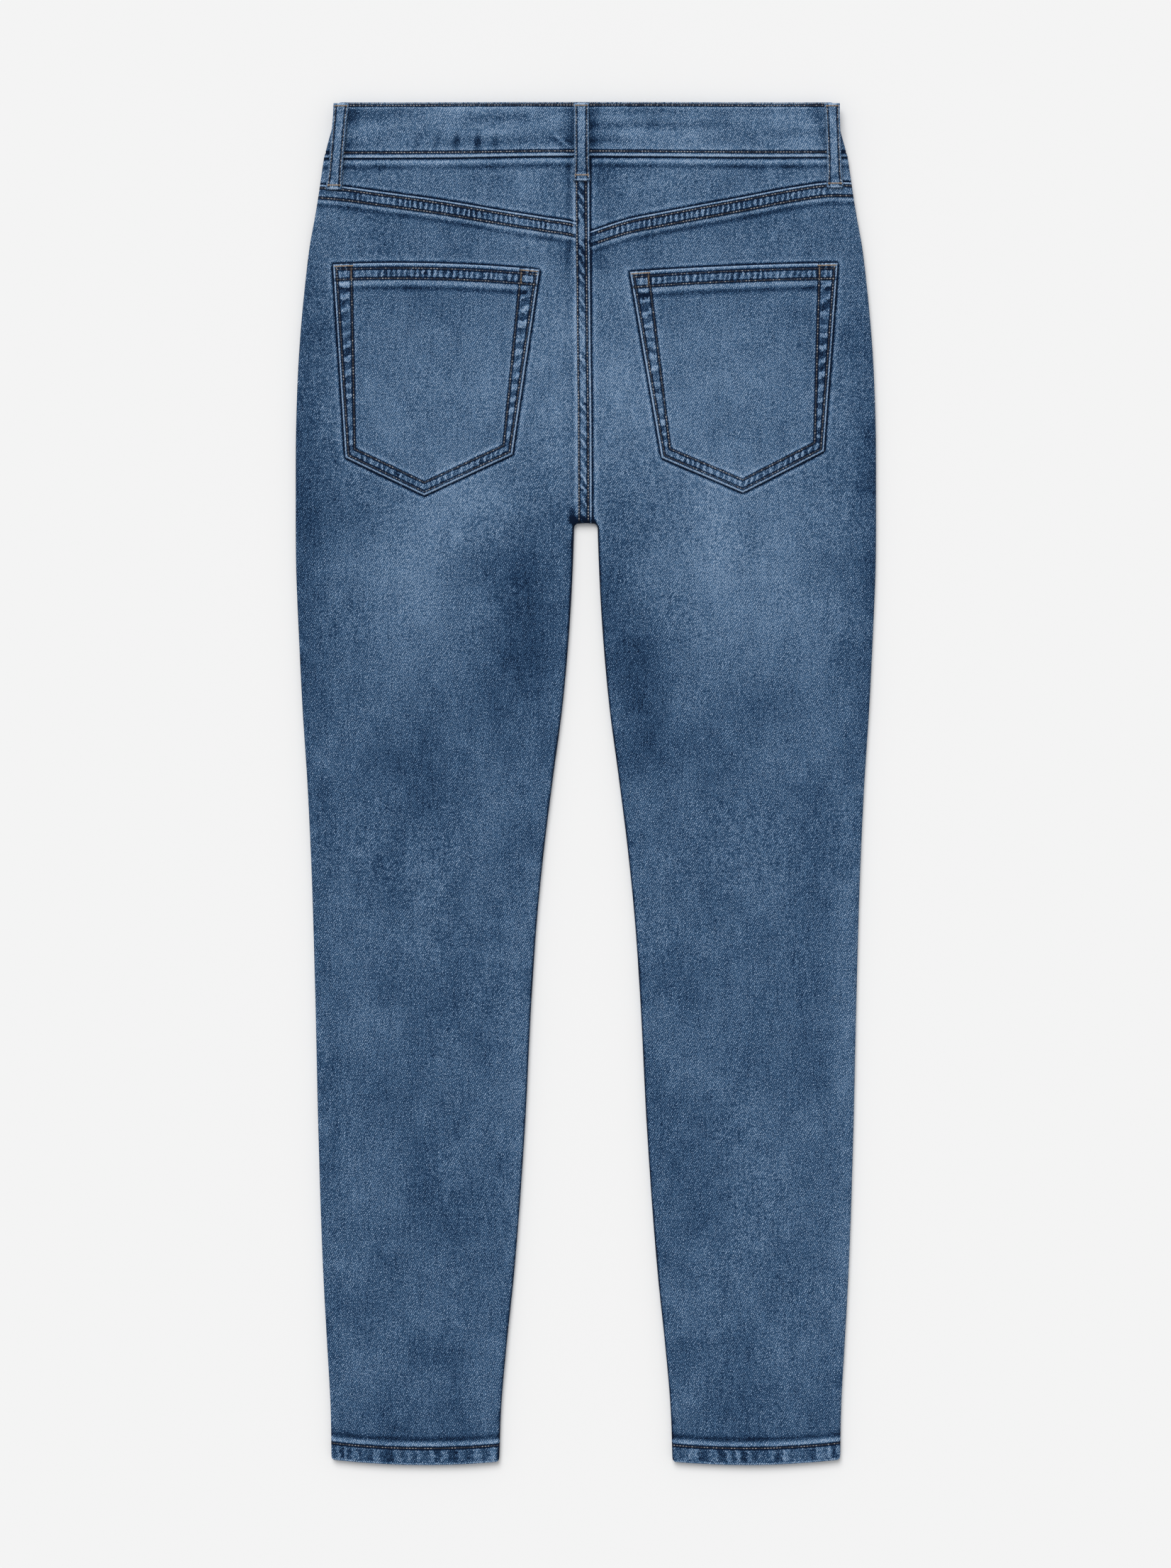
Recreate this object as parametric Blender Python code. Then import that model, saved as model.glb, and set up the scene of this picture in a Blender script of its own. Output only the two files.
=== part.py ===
"""Skinny ankle jeans in stretch denim, laid out flat on their front with the back up.

The cloth lies in two layers that roll into each other at the side seams and the inseams.
X runs across the jeans, +Y from the hems to the waist and +Z up, out of the back.
"left" and "right" are the wearer's sides; with the back up they are the viewer's too.

All sizes below are in millimetres. A place on the jeans is given by x, its distance from
the centre line, and by drop, its distance below the top edge of the back waistband.
"""

import math
from collections import namedtuple

import bpy
import numpy as np

MM = 0.001

# ---------------------------------------------------------------- driving dimensions
LENGTH = 1000.0  # top of the waistband to the hems
DENIM = 1.2  # one layer of stretch denim
GAP = 0.3  # between neighbouring pieces at a seam
ROLL = 2.8  # how far in from a leg's side the cloth starts to turn down

LEG_HEIGHT = 5.6  # height of the back's face above the ground on the legs
SEAT_RISE = 0.6  # added over the seat
WAIST_RISE = 0.6  # added at the waistband, from side to side
CROWN_RISE = 1.3  # added at the middle of the waistband, over the closed fly
WAIST_PROUD = 0.8  # the waistband's face over the cloth below it
FRONT_LIFT = 2.2  # the front's face at the waist, held up by its loops and the button
LIFT_TOP, LIFT_END = 95.0, 180.0  # drops between which the front comes down flat

YOKE_BAND = 11.0  # width of the yoke's lapped seam
CENTRE_BAND = 10.3  # width of the centre back's lapped seam
BAND_RAISE = 1.1
LAP = 3.3  # the left back panels lap this far over the centre line
HEM_DEPTH = 15.0
HEM_RAISE = 0.5
HEM_INSIDE = 0.8
HEM_BOW = 3.2  # the hem's middle hangs this much lower than its corners
HEM_CORNER = 2.6
EDGE_SOFT = 0.6  # width of the rounding along a cut or folded edge
STEP = 0.6  # half the width of the slope from a raised band to the cloth

CROTCH_DROP = 308.0
CROTCH_FLAT = 6.0  # half the flat stretch at the top of the gap between the legs
CROTCH_ROUND = 2.6

WAISTBAND_DEPTH = 39.4
WAISTBAND_THICK = 2.0
WAISTBAND_TOP_HALF = 181.5
WAISTBAND_LOW_HALF = 192.4
WAISTBAND_UNDER = 1.7  # the front waistband's face above the ground
FRONT_DIP = 25.0  # the front waist lies this much lower at its middle
BUTTON_END = 16.0  # the end with the buttonhole passes the centre line by this much
UNDER_END = 25.0  # and so does the end below it, the other way

SCOOP_TOP = 50.0  # the front pocket's mouth, a quarter of an ellipse
SCOOP_DEPTH = 75.0
SCOOP_WIDTH = 87.0
SCOOP_TURNS = [0.0, 15.0, 30.0, 45.0, 60.0, 72.0, 82.0, 90.0]  # degrees along that quarter

POCKET_HEM = 17.0
POCKET_FOLD = 10.0
POCKET_SEAT = 0.4  # between a back pocket and the cloth below it
LAYER = 0.5  # what a turned-under edge adds

LOOP_THICK = 1.4
LOOP_END = 0.6  # what a loop's folded ends add
LOOP_STAND = 1.9  # how far a loop stands off the waistband at its middle
FRONT_LOOP_X = 95.0
FRONT_LOOP_LENGTH = 62.0
BUTTON_RADIUS = 8.5

# ---------------------------------------------------------------- tables
Level = namedtuple("Level", "drop half_width")
OUTSEAM = [
    Level(39.4, 192.4),
    Level(80, 198.5),
    Level(105, 203.0),
    Level(132, 206.3),
    Level(184, 210.9),
    Level(236, 213.0),
    Level(288, 213.3),
    Level(340, 213.0),
    Level(392, 210.9),
    Level(444, 208.3),
    Level(496, 204.9),
    Level(548, 202.3),
    Level(652, 199.0),
    Level(757, 196.6),
    Level(861, 193.0),
    Level(913, 190.2),
    Level(965, 187.5),
    Level(1000, 187.0),
]
INSEAM = [
    Level(310.6, 8.6),
    Level(340, 9.6),
    Level(392, 12.6),
    Level(444, 17.4),
    Level(496, 24.3),
    Level(548, 30.8),
    Level(600, 36.0),
    Level(652, 39.6),
    Level(757, 45.1),
    Level(861, 52.9),
    Level(913, 58.2),
    Level(965, 62.5),
    Level(1000, 63.6),
]

SeamPoint = namedtuple("SeamPoint", "from_centre drop_left drop_right")
YOKE_SEAM = [
    SeamPoint(-3.3, 92.9, 97.6),
    SeamPoint(9, 88.7, 93.2),
    SeamPoint(30, 85.1, 85.9),
    SeamPoint(56, 80.9, 80.2),
    SeamPoint(111, 70.6, 69.4),
    SeamPoint(154, 64.2, 61.2),
    SeamPoint(178, 60.9, 57.9),
    SeamPoint(197, 59.2, 57.9),
]

Corner = namedtuple("Corner", "name x_left drop_left x_right drop_right")
POCKET = [
    Corner("top inner", 33.1, 122.1, 32.3, 123.8),
    Corner("top outer", 185.2, 118.2, 185.2, 117.2),
    Corner("low inner", 52.3, 257.8, 55.8, 259.1),
    Corner("tip", 115.9, 287.5, 116.9, 285.3),
    Corner("low outer", 175.3, 258.9, 175.0, 255.5),
]

# The largest soft folds: drags below the seat, and the slack behind the knees.
Fold = namedtuple("Fold", "x drop length width turn height")
FOLDS = [
    Fold(-92, 322, 60, 17, 28, 0.75),
    Fold(-128, 352, 74, 20, 24, -0.55),
    Fold(-60, 368, 46, 15, 40, 0.45),
    Fold(98, 326, 62, 18, -26, 0.75),
    Fold(136, 354, 70, 20, -22, -0.5),
    Fold(60, 372, 48, 15, -42, 0.45),
    Fold(-140, 560, 70, 26, -14, 0.5),
    Fold(-88, 604, 60, 22, 18, -0.4),
    Fold(120, 548, 66, 24, 16, 0.5),
    Fold(92, 612, 74, 24, -12, -0.4),
    Fold(-118, 782, 90, 20, 82, 0.35),
    Fold(122, 820, 95, 20, 97, 0.35),
    Fold(-20, 196, 60, 12, 62, 0.35),
    Fold(26, 214, 58, 12, -60, 0.35),
]

Loop = namedtuple("Loop", "name top_x low_x length top_width mid_width low_width")
BACK_LOOPS = [
    Loop("belt_loop_back_left", -179.4, -185.0, 63.6, 11.4, 10.4, 11.7),
    Loop("belt_loop_back_center", -3.3, -3.0, 57.3, 11.3, 11.0, 12.7),
    Loop("belt_loop_back_right", 180.7, 182.8, 62.2, 11.3, 10.5, 12.2),
]

Finish = namedtuple("Finish", "red green blue roughness metallic")
FINISHES = {
    "denim": Finish(0.072, 0.127, 0.216, 0.86, 0.0),
    "denim_worn": Finish(0.122, 0.182, 0.262, 0.88, 0.0),
    "button_metal": Finish(0.30, 0.19, 0.11, 0.38, 1.0),
}


# ---------------------------------------------------------------- small mathematics
def smooth(t):
    """0 up to 1 with level ends, as t goes from 0 to 1."""
    t = np.clip(t, 0.0, 1.0)
    return t * t * (3.0 - 2.0 * t)


def through(table, column):
    """A smooth curve through a table: how much, in this column, against its first column."""
    where = np.array([row[0] for row in table], float)
    value = np.array([row[column] for row in table], float)
    slope = np.gradient(value, where)

    def read(at):
        at = np.clip(at, where[0], where[-1])
        i = np.clip(np.searchsorted(where, at, side="right") - 1, 0, len(where) - 2)
        span = where[i + 1] - where[i]
        t = (at - where[i]) / span
        ends = (1 + 2 * t) * (1 - t) ** 2 * value[i] + t**2 * (3 - 2 * t) * value[i + 1]
        bends = t * (1 - t) ** 2 * slope[i] - t**2 * (1 - t) * slope[i + 1]
        return ends + span * bends

    return read


outseam = through(OUTSEAM, 1)
inseam = through(INSEAM, 1)
yoke_seam = {-1: through(YOKE_SEAM, 1), 1: through(YOKE_SEAM, 2)}


# ---------------------------------------------------------------- the shape of the jeans
def crown(x):
    """1 over the closed fly, falling to 0 towards the sides."""
    return 1.0 - smooth((np.abs(x) - 40.0) / 110.0)


def waist_share(drop):
    """1 down to the front waistband's lowest point, then falling to 0 on the seat."""
    return 1.0 - smooth((drop - WAISTBAND_DEPTH - FRONT_DIP) / 90.0)


def folds(x, drop):
    """Soft troughs and ridges: each is a long bell, turned in the plane of the cloth."""
    total = np.zeros(np.broadcast(x, drop).shape)
    for fold in FOLDS:
        turn = math.radians(fold.turn)
        along = (x - fold.x) * math.cos(turn) - (drop - fold.drop) * math.sin(turn)
        across = (x - fold.x) * math.sin(turn) + (drop - fold.drop) * math.cos(turn)
        total += fold.height * np.exp(-((along / fold.length) ** 2) - (across / fold.width) ** 2)
    return total


def back_top(x, drop):
    """Height of the back's face, away from its rolled edges."""
    seat = smooth((drop - 60.0) / 80.0) * (1.0 - smooth((drop - 230.0) / 120.0))
    rise = waist_share(drop) * (WAIST_RISE + CROWN_RISE * crown(x)) + SEAT_RISE * seat
    return LEG_HEIGHT + rise + folds(x, drop)


def front_under(drop):
    """Height of the front's face: flat on the ground, and lifted towards the waist."""
    return FRONT_LIFT * (1.0 - smooth((drop - LIFT_TOP) / (LIFT_END - LIFT_TOP)))


def middle(drop):
    """Height of the side seams and inseams."""
    return (LEG_HEIGHT + WAIST_RISE * waist_share(drop) + front_under(drop)) / 2.0


def gap_edge(drop):
    """Half the gap between the legs, with rounded upper corners."""
    over = np.clip(CROTCH_DROP + CROTCH_ROUND - drop, 0.0, CROTCH_ROUND)
    return np.where(
        over > 0.0,
        CROTCH_FLAT + np.sqrt(CROTCH_ROUND**2 - over**2),
        inseam(drop),
    )


def edge_distance(x, drop):
    """How far a point is from the outline's rolled sides and from the gap between the legs."""
    x = np.abs(x)
    over = CROTCH_DROP + CROTCH_ROUND - drop
    above = np.hypot(np.maximum(x - CROTCH_FLAT, 0.0), over) - CROTCH_ROUND
    to_gap = np.where(over > 0.0, above, x - inseam(drop))
    return np.maximum(np.minimum(outseam(drop) - x, to_gap), 0.0)


def hem_bottom(x):
    """Drop of the hem's lower edge, which bows down a little and has rounded corners."""
    inner, outer = inseam(LENGTH), outseam(LENGTH)
    across = (2.0 * np.abs(x) - inner - outer) / (outer - inner)
    near = np.clip(np.minimum(np.abs(x) - inner, outer - np.abs(x)) / HEM_CORNER, 0.0, 1.0)
    corner = HEM_CORNER * (1.0 - np.sqrt(1.0 - (1.0 - near) ** 2))
    return LENGTH - HEM_BOW * across**2, corner


def ledge(offset, width, height):
    """Height of a raised band this far in from its folded edge."""
    slope = np.clip((width + STEP - offset) / (2.0 * STEP), 0.0, 1.0)
    edge = 0.6 + 0.4 * np.clip(offset / EDGE_SOFT, 0.0, 1.0)
    return height * slope * edge


def wall(x, drop, face, raised=0.0, inside=0.0):
    """Outer and inner points of the cloth at (x, drop). face is 1 on the back, -1 on the front.

    Away from the sides the two lie one above the other. Towards a rolled side the cloth
    turns through a quarter of an ellipse, so the inner point moves in from the side too.
    """
    nudge = 0.05
    near = edge_distance(x, drop)
    lean = np.clip(1.0 - near / ROLL, 0.0, 1.0)
    rise = np.sqrt(1.0 - lean**2)
    in_x = edge_distance(x + nudge, drop) - edge_distance(x - nudge, drop)
    in_drop = edge_distance(x, drop + nudge) - edge_distance(x, drop - nudge)
    steep = np.maximum(np.hypot(in_x, in_drop), 1e-9)
    level = middle(drop)
    height = back_top(x, drop) - level if face > 0 else level - front_under(drop)
    thick = DENIM + raised + inside
    outer_z = np.maximum((height + raised) * rise, GAP / 2.0)
    inner_z = np.maximum((height + raised - thick) * rise, GAP / 2.0)
    outer = np.stack([x, drop, level + face * outer_z], axis=-1)
    inner = np.stack(
        [
            x + thick * lean * in_x / steep,
            drop + thick * lean * in_drop / steep,
            level + face * inner_z,
        ],
        axis=-1,
    )
    return outer, inner


# ---------------------------------------------------------------- meshes
def material(name):
    found = bpy.data.materials.get(name)
    if found:
        return found
    finish = FINISHES[name]
    made = bpy.data.materials.new(name)
    made.use_nodes = True
    shader = made.node_tree.nodes["Principled BSDF"]
    shader.inputs["Base Color"].default_value = (finish.red, finish.green, finish.blue, 1.0)
    shader.inputs["Roughness"].default_value = finish.roughness
    shader.inputs["Metallic"].default_value = finish.metallic
    return made


def closed_wall(name, outer, inner, finish="denim"):
    """One closed solid between two grids of (x, drop, z) points with the same rows and columns."""
    rows, columns = outer.shape[:2]
    points = np.concatenate([outer.reshape(-1, 3), inner.reshape(-1, 3)])
    points = np.stack([points[:, 0], LENGTH / 2.0 - points[:, 1], points[:, 2]], axis=-1) * MM
    layer = rows * columns

    def at(i, j, side):
        return side * layer + i * columns + j

    faces = []
    for i in range(rows - 1):
        for j in range(columns - 1):
            for side in (0, 1):
                quad = [at(i, j, side), at(i + 1, j, side), at(i + 1, j + 1, side), at(i, j + 1, side)]
                faces.append(quad if side == 0 else quad[::-1])
    rim = [(0, j) for j in range(columns)] + [(i, columns - 1) for i in range(1, rows)]
    rim += [(rows - 1, j) for j in range(columns - 2, -1, -1)] + [(i, 0) for i in range(rows - 2, 0, -1)]
    for (i, j), (k, m) in zip(rim, rim[1:] + rim[:1]):
        faces.append([at(i, j, 0), at(k, m, 0), at(k, m, 1), at(i, j, 1)])
    mesh = bpy.data.meshes.new(name)
    mesh.from_pydata(points.tolist(), [], faces)
    mesh.update()
    made = bpy.data.objects.new(name, mesh)
    bpy.context.scene.collection.objects.link(made)
    face_out(made)
    mesh.materials.append(material(finish))
    mesh.shade_smooth()
    mesh.set_sharp_from_angle(angle=math.radians(40))
    return made


def face_out(made):
    """Turns every face of a closed solid outwards."""
    mesh = made.data
    volume = 0.0
    for polygon in mesh.polygons:
        a, b, c, d = (mesh.vertices[i].co for i in polygon.vertices)
        volume += a.dot(b.cross(c)) + a.dot(c.cross(d))
    if volume < 0.0:
        mesh.flip_normals()


def spread(start, end, count):
    """count values inside the open stretch from start to end."""
    return start + (end - start) * np.arange(1, count + 1) / (count + 1)


ROLL_OFFSETS = ROLL * (1.0 - np.cos(np.radians([0.0, 30.0, 60.0, 90.0])))
YOKE_OFFSETS = np.array([0.0, EDGE_SOFT, YOKE_BAND - STEP, YOKE_BAND + STEP])
CENTRE_OFFSETS = np.array([0.0, EDGE_SOFT, CENTRE_BAND - STEP, CENTRE_BAND + STEP])
LEG_OFFSETS = np.concatenate([ROLL_OFFSETS, [6.0, 12.0]])
BESIDE_GAP = [CROTCH_FLAT + CROTCH_ROUND + ROLL, 16.0]  # the last places of an inner edge
OVER_GAP = [CROTCH_FLAT + 0.5, CROTCH_FLAT + CROTCH_ROUND]


def columns_between(first, outer, count):
    """Places along one row: those of its inner edge, then on to its rolled outer side."""
    last = outer - ROLL_OFFSETS[::-1]
    return np.concatenate([first, spread(first[-1], last[0], count), last])


# ---------------------------------------------------------------- back panels
SEAM_LEVEL = 72.0  # the yoke seam's middle drop, where the legs' rows are counted from
ROWS_LEVEL_AT = 260.0


def back_edge(side):
    """Places next to the centre-back edge, outwards: the left panel laps over the right one."""
    if side < 0:
        return np.concatenate([-LAP + CENTRE_OFFSETS, BESIDE_GAP])
    return np.concatenate([LAP + GAP + CENTRE_OFFSETS[:2], OVER_GAP, BESIDE_GAP])


def back_raise(x, drop, side):
    """Raised bands of the lapped seams and the hem on a leg's back."""
    out = side * x
    raised = ledge(drop - yoke_seam[side](out), YOKE_BAND, BAND_RAISE)
    if side < 0:
        raised = np.maximum(raised, ledge(LAP - x, CENTRE_BAND, BAND_RAISE))
    bottom, _ = hem_bottom(x)
    return np.maximum(raised, ledge(bottom - drop, HEM_DEPTH, HEM_RAISE))


def hem_inside(x, drop):
    """What the turned-up hem adds on the inside."""
    bottom, _ = hem_bottom(x)
    return ledge(bottom - drop, HEM_DEPTH, HEM_INSIDE)


def crotch_rows():
    """Rows that turn the cloth down over the top of the gap, then round its corner."""
    over = CROTCH_DROP - ROLL_OFFSETS[::-1]
    corner = CROTCH_DROP + CROTCH_ROUND * (1.0 - np.cos(np.radians([30.0, 60.0, 90.0])))
    return np.concatenate([over, corner])


def hem_rows():
    return LENGTH - np.array([HEM_DEPTH + STEP, HEM_DEPTH - STEP, EDGE_SOFT, 0.0])


def bend_to_hem(drop, x, level):
    """Bows the lowest rows to the hem's edge; the last two follow its round corners."""
    bottom, corner = hem_bottom(x)
    low = smooth((level - 860.0) / 100.0)
    tight = np.clip(1.0 - (LENGTH - level) / HEM_DEPTH, 0.0, 1.0)
    return drop - low * (LENGTH - bottom) - tight * corner


def back_leg(name, side):
    """A leg's whole back, from the yoke seam to the hem."""
    top = SEAM_LEVEL + YOKE_OFFSETS
    seat = spread(top[-1], CROTCH_DROP - ROLL, 9)
    thigh = spread(CROTCH_DROP + CROTCH_ROUND, LENGTH - HEM_DEPTH - STEP, 20)
    levels = np.concatenate([top, seat, crotch_rows(), thigh, hem_rows()])
    outer_rows, inner_rows = [], []
    for level in levels:
        first = back_edge(side) if level <= CROTCH_DROP else gap_edge(level) + LEG_OFFSETS
        fade = 1.0 - smooth((level - SEAM_LEVEL) / (ROWS_LEVEL_AT - SEAM_LEVEL))

        def drop_at(out):
            return level + fade * (yoke_seam[side](out) - SEAM_LEVEL)

        edge = float(outseam(level))
        for _ in range(4):
            edge = float(outseam(drop_at(edge)))
        out = columns_between(first, edge, 7)
        x = side * out
        drop = bend_to_hem(drop_at(out), x, level)
        outer, inner = wall(x, drop, 1, back_raise(x, drop, side), hem_inside(x, drop))
        outer_rows.append(outer)
        inner_rows.append(inner)
    return closed_wall(name, np.array(outer_rows), np.array(inner_rows))


def yoke(name, side):
    """The shaped piece between the waistband and the leg's back."""
    outer_rows, inner_rows = [], []
    for part in (0.0, 0.25, 0.5, 0.75, 1.0):

        def drop_at(out):
            top = WAISTBAND_DEPTH + GAP
            return top + part * (yoke_seam[side](out) - GAP - top)

        edge = WAISTBAND_LOW_HALF
        for _ in range(4):
            edge = float(outseam(drop_at(edge)))
        out = columns_between(back_edge(side), edge, 6)
        x = side * out
        raised = ledge(LAP - x, CENTRE_BAND, BAND_RAISE) if side < 0 else 0.0
        outer, inner = wall(x, drop_at(out), 1, raised)
        outer_rows.append(outer)
        inner_rows.append(inner)
    return closed_wall(name, np.array(outer_rows), np.array(inner_rows))


def back_pocket(name, side):
    """A five-cornered patch pocket, laid on the leg's back and turned under all round."""
    column = 1 if side < 0 else 3
    (ax, ad), (bx, bd), (cx, cd), (tx, td), (ex, ed) = (corner[column : column + 2] for corner in POCKET)
    tip_at = (tx - cx) / (ex - cx)
    depth = (cd + ed - ad - bd) / 2.0
    hem = np.array([0.0, EDGE_SOFT, POCKET_HEM - STEP, POCKET_HEM + STEP])
    fold = np.array([POCKET_FOLD + STEP, POCKET_FOLD - STEP, EDGE_SOFT, 0.0])
    low = depth - fold
    parts = np.concatenate([hem, spread(hem[-1], low[0], 4), low]) / depth
    outer_rows, inner_rows = [], []
    for part in parts:
        inner_x, outer_x = ax + part * (cx - ax), bx + part * (ex - bx)
        width = outer_x - inner_x
        tip = inner_x + tip_at * width
        first, last = inner_x + fold[::-1], outer_x - fold
        out = np.concatenate([first, spread(first[-1], tip, 2), [tip], spread(tip, last[0], 2), last])
        across = (out - inner_x) / width
        top_drop = ad + across * (bd - ad)
        point = np.where(
            across < tip_at,
            cd + (td - cd) * across / tip_at,
            ed + (td - ed) * (1.0 - across) / (1.0 - tip_at),
        )
        drop = top_drop + part * (point - top_drop)
        x = side * out
        from_side = np.minimum(out - inner_x, outer_x - out)
        from_end = min(part * depth, (1.0 - part) * depth)
        turned = np.maximum(
            ledge(np.minimum(from_side, (1.0 - part) * depth), POCKET_FOLD, LAYER),
            ledge(part * depth, POCKET_HEM, 2.0 * LAYER),
        )
        soft = 0.45 * (1.0 - np.clip(np.minimum(from_side, from_end) / EDGE_SOFT, 0.0, 1.0))
        seat = back_top(x, drop) + POCKET_SEAT
        outer_rows.append(np.stack([x, drop, seat + DENIM + turned - soft], axis=-1))
        inner_rows.append(np.stack([x, drop, seat], axis=-1))
    return closed_wall(name, np.array(outer_rows), np.array(inner_rows))


# ---------------------------------------------------------------- front panels
def front_top(out):
    """Drop of the front waistband's lower edge."""
    return WAISTBAND_DEPTH + FRONT_DIP * (1.0 - (out / WAISTBAND_LOW_HALF) ** 2)


def scoop(turn):
    """A point (out, drop) on the pocket's mouth: turn 0 at the waistband, 90 at the side."""
    drop = SCOOP_TOP + SCOOP_DEPTH * math.sin(math.radians(turn))
    side = float(outseam(SCOOP_TOP + SCOOP_DEPTH))
    return side - SCOOP_WIDTH * math.cos(math.radians(turn)), drop


def front_row(side, first, inner_drop, outer_edge, outer_drop, level):
    """One row of a front panel, bowed like the waistband."""
    out = columns_between(first, outer_edge, 4)
    drop = inner_drop + (outer_drop - inner_drop) * (out / outer_edge) ** 2
    x = side * out
    drop = bend_to_hem(drop, x, level)
    return wall(x, drop, -1, 0.0, hem_inside(x, drop))


def front(name, side):
    """A leg's front, from the waistband and the pocket's mouth to the hem."""
    rows = []
    centre = np.concatenate([[GAP / 2.0, EDGE_SOFT], OVER_GAP, BESIDE_GAP])
    start_out, _ = scoop(0.0)
    start = float(front_top(0.0)) + GAP
    end = SCOOP_TOP + SCOOP_DEPTH
    for number, turn in enumerate(SCOOP_TURNS):
        share = number / (len(SCOOP_TURNS) - 1)
        inner_drop = start + share * (end + 12.0 - start)
        outer_edge, outer_drop = scoop(turn)
        if number == 0:
            outer_drop = float(front_top(start_out)) + GAP
        rows.append((centre, inner_drop, outer_edge, outer_drop, end))
    seat = spread(end + 12.0, CROTCH_DROP - ROLL, 5)
    thigh = spread(CROTCH_DROP + CROTCH_ROUND, LENGTH - HEM_DEPTH - STEP, 14)
    for level in np.concatenate([seat, crotch_rows(), thigh, hem_rows()]):
        first = centre if level <= CROTCH_DROP else gap_edge(level) + LEG_OFFSETS
        share = 1.0 - smooth((level - end) / (CROTCH_DROP - ROLL - end))
        outer_drop = level - 12.0 * share
        rows.append((first, level, float(outseam(outer_drop)), outer_drop, level))
    walls = [front_row(side, *row) for row in rows]
    outer = np.array([made[0] for made in walls])
    inner = np.array([made[1] for made in walls])
    return closed_wall(name, outer, inner)


def pocket_bearer(name, side):
    """The piece of denim that shows inside the mouth of a front pocket."""
    outer_rows, inner_rows = [], []
    turns = SCOOP_TURNS[:-1]
    for number, turn in enumerate(turns):
        share = number / (len(turns) - 1)
        inner_edge, inner_drop = scoop(turn)
        across = math.cos(math.radians(turn))
        inner_edge += 1.5 * GAP * across
        inner_drop -= 1.5 * GAP * (1.0 - across)
        top = WAISTBAND_DEPTH + GAP
        outer_drop = top + share * (inner_drop - top)
        outer_edge = float(outseam(outer_drop))
        last = outer_edge - ROLL_OFFSETS[::-1]
        out = np.concatenate([[inner_edge], spread(inner_edge, last[0], 4), last])
        if number == 0:
            drop = front_top(out) + GAP
        else:
            drop = inner_drop + (outer_drop - inner_drop) * (out - inner_edge) / (outer_edge - inner_edge)
        outer, inner = wall(side * out, drop, -1)
        outer_rows.append(outer)
        inner_rows.append(inner)
    return closed_wall(name, np.array(outer_rows), np.array(inner_rows))


# ---------------------------------------------------------------- waistband, loops, button
def waistband_face(x):
    """Height of the back waistband's face."""
    return LEG_HEIGHT + WAIST_RISE + WAIST_PROUD + (CROWN_RISE + 0.35) * float(crown(x))


def waistband_route():
    """The band's middle line as (x, z, front), from its buttonhole end round to the end below."""
    low = WAISTBAND_UNDER + WAISTBAND_THICK / 2.0
    high_side = waistband_face(WAISTBAND_LOW_HALF) - WAISTBAND_THICK / 2.0
    bend = (high_side - low) / 2.0
    half = (WAISTBAND_TOP_HALF + WAISTBAND_LOW_HALF) / 2.0 - WAISTBAND_THICK / 2.0 - bend
    under = low + WAISTBAND_THICK + GAP
    route = [(x, low, 1.0) for x in np.linspace(BUTTON_END, -half, 12)]
    for turn in np.radians([30.0, 60.0, 90.0, 120.0, 150.0]):
        z = low + bend * (1.0 - math.cos(turn))
        route.append((-half - bend * math.sin(turn), z, (1.0 + math.cos(turn)) / 2.0))
    for x in np.linspace(-half, half, 23):
        route.append((x, waistband_face(x) - WAISTBAND_THICK / 2.0, 0.0))
    for turn in np.radians([30.0, 60.0, 90.0, 120.0, 150.0]):
        z = high_side - bend * (1.0 - math.cos(turn))
        route.append((half + bend * math.sin(turn), z, (1.0 - math.cos(turn)) / 2.0))
    route += [(x, low, 1.0) for x in np.linspace(half, 52.0, 9)]
    for share in (0.25, 0.5, 0.75, 1.0):
        route.append((52.0 - 26.0 * share, low + (under - low) * float(smooth(share)), 1.0))
    route += [(x, under, 1.0) for x in (0.0, -UNDER_END)]
    return np.array(route)


def waistband():
    """A two-layer band, folded at the sides, its ends lapped at the centre front."""
    route = waistband_route()
    along = np.gradient(route[:, :2], axis=0)
    along /= np.hypot(along[:, 0], along[:, 1])[:, None]
    normal = np.stack([-along[:, 1], along[:, 0]], axis=-1)
    middle_half = (WAISTBAND_TOP_HALF + WAISTBAND_LOW_HALF) / 2.0
    down = [0.0, EDGE_SOFT, WAISTBAND_DEPTH / 2.0, WAISTBAND_DEPTH - EDGE_SOFT, WAISTBAND_DEPTH]
    grids = []
    for face in (1.0, -1.0):
        rows = []
        for depth in down:
            soft = 0.45 if depth in (down[0], down[-1]) else 0.0
            half = WAISTBAND_TOP_HALF + (WAISTBAND_LOW_HALF - WAISTBAND_TOP_HALF) * depth / WAISTBAND_DEPTH
            place = route[:, :2] + face * (WAISTBAND_THICK / 2.0 - soft) * normal
            x = place[:, 0] * half / middle_half
            dip = FRONT_DIP * route[:, 2] * (1.0 - np.minimum(np.abs(x) / half, 1.0) ** 2)
            rows.append(np.stack([x, depth + dip, place[:, 1]], axis=-1))
        grids.append(np.array(rows))
    return closed_wall("waistband", *grids)


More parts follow.
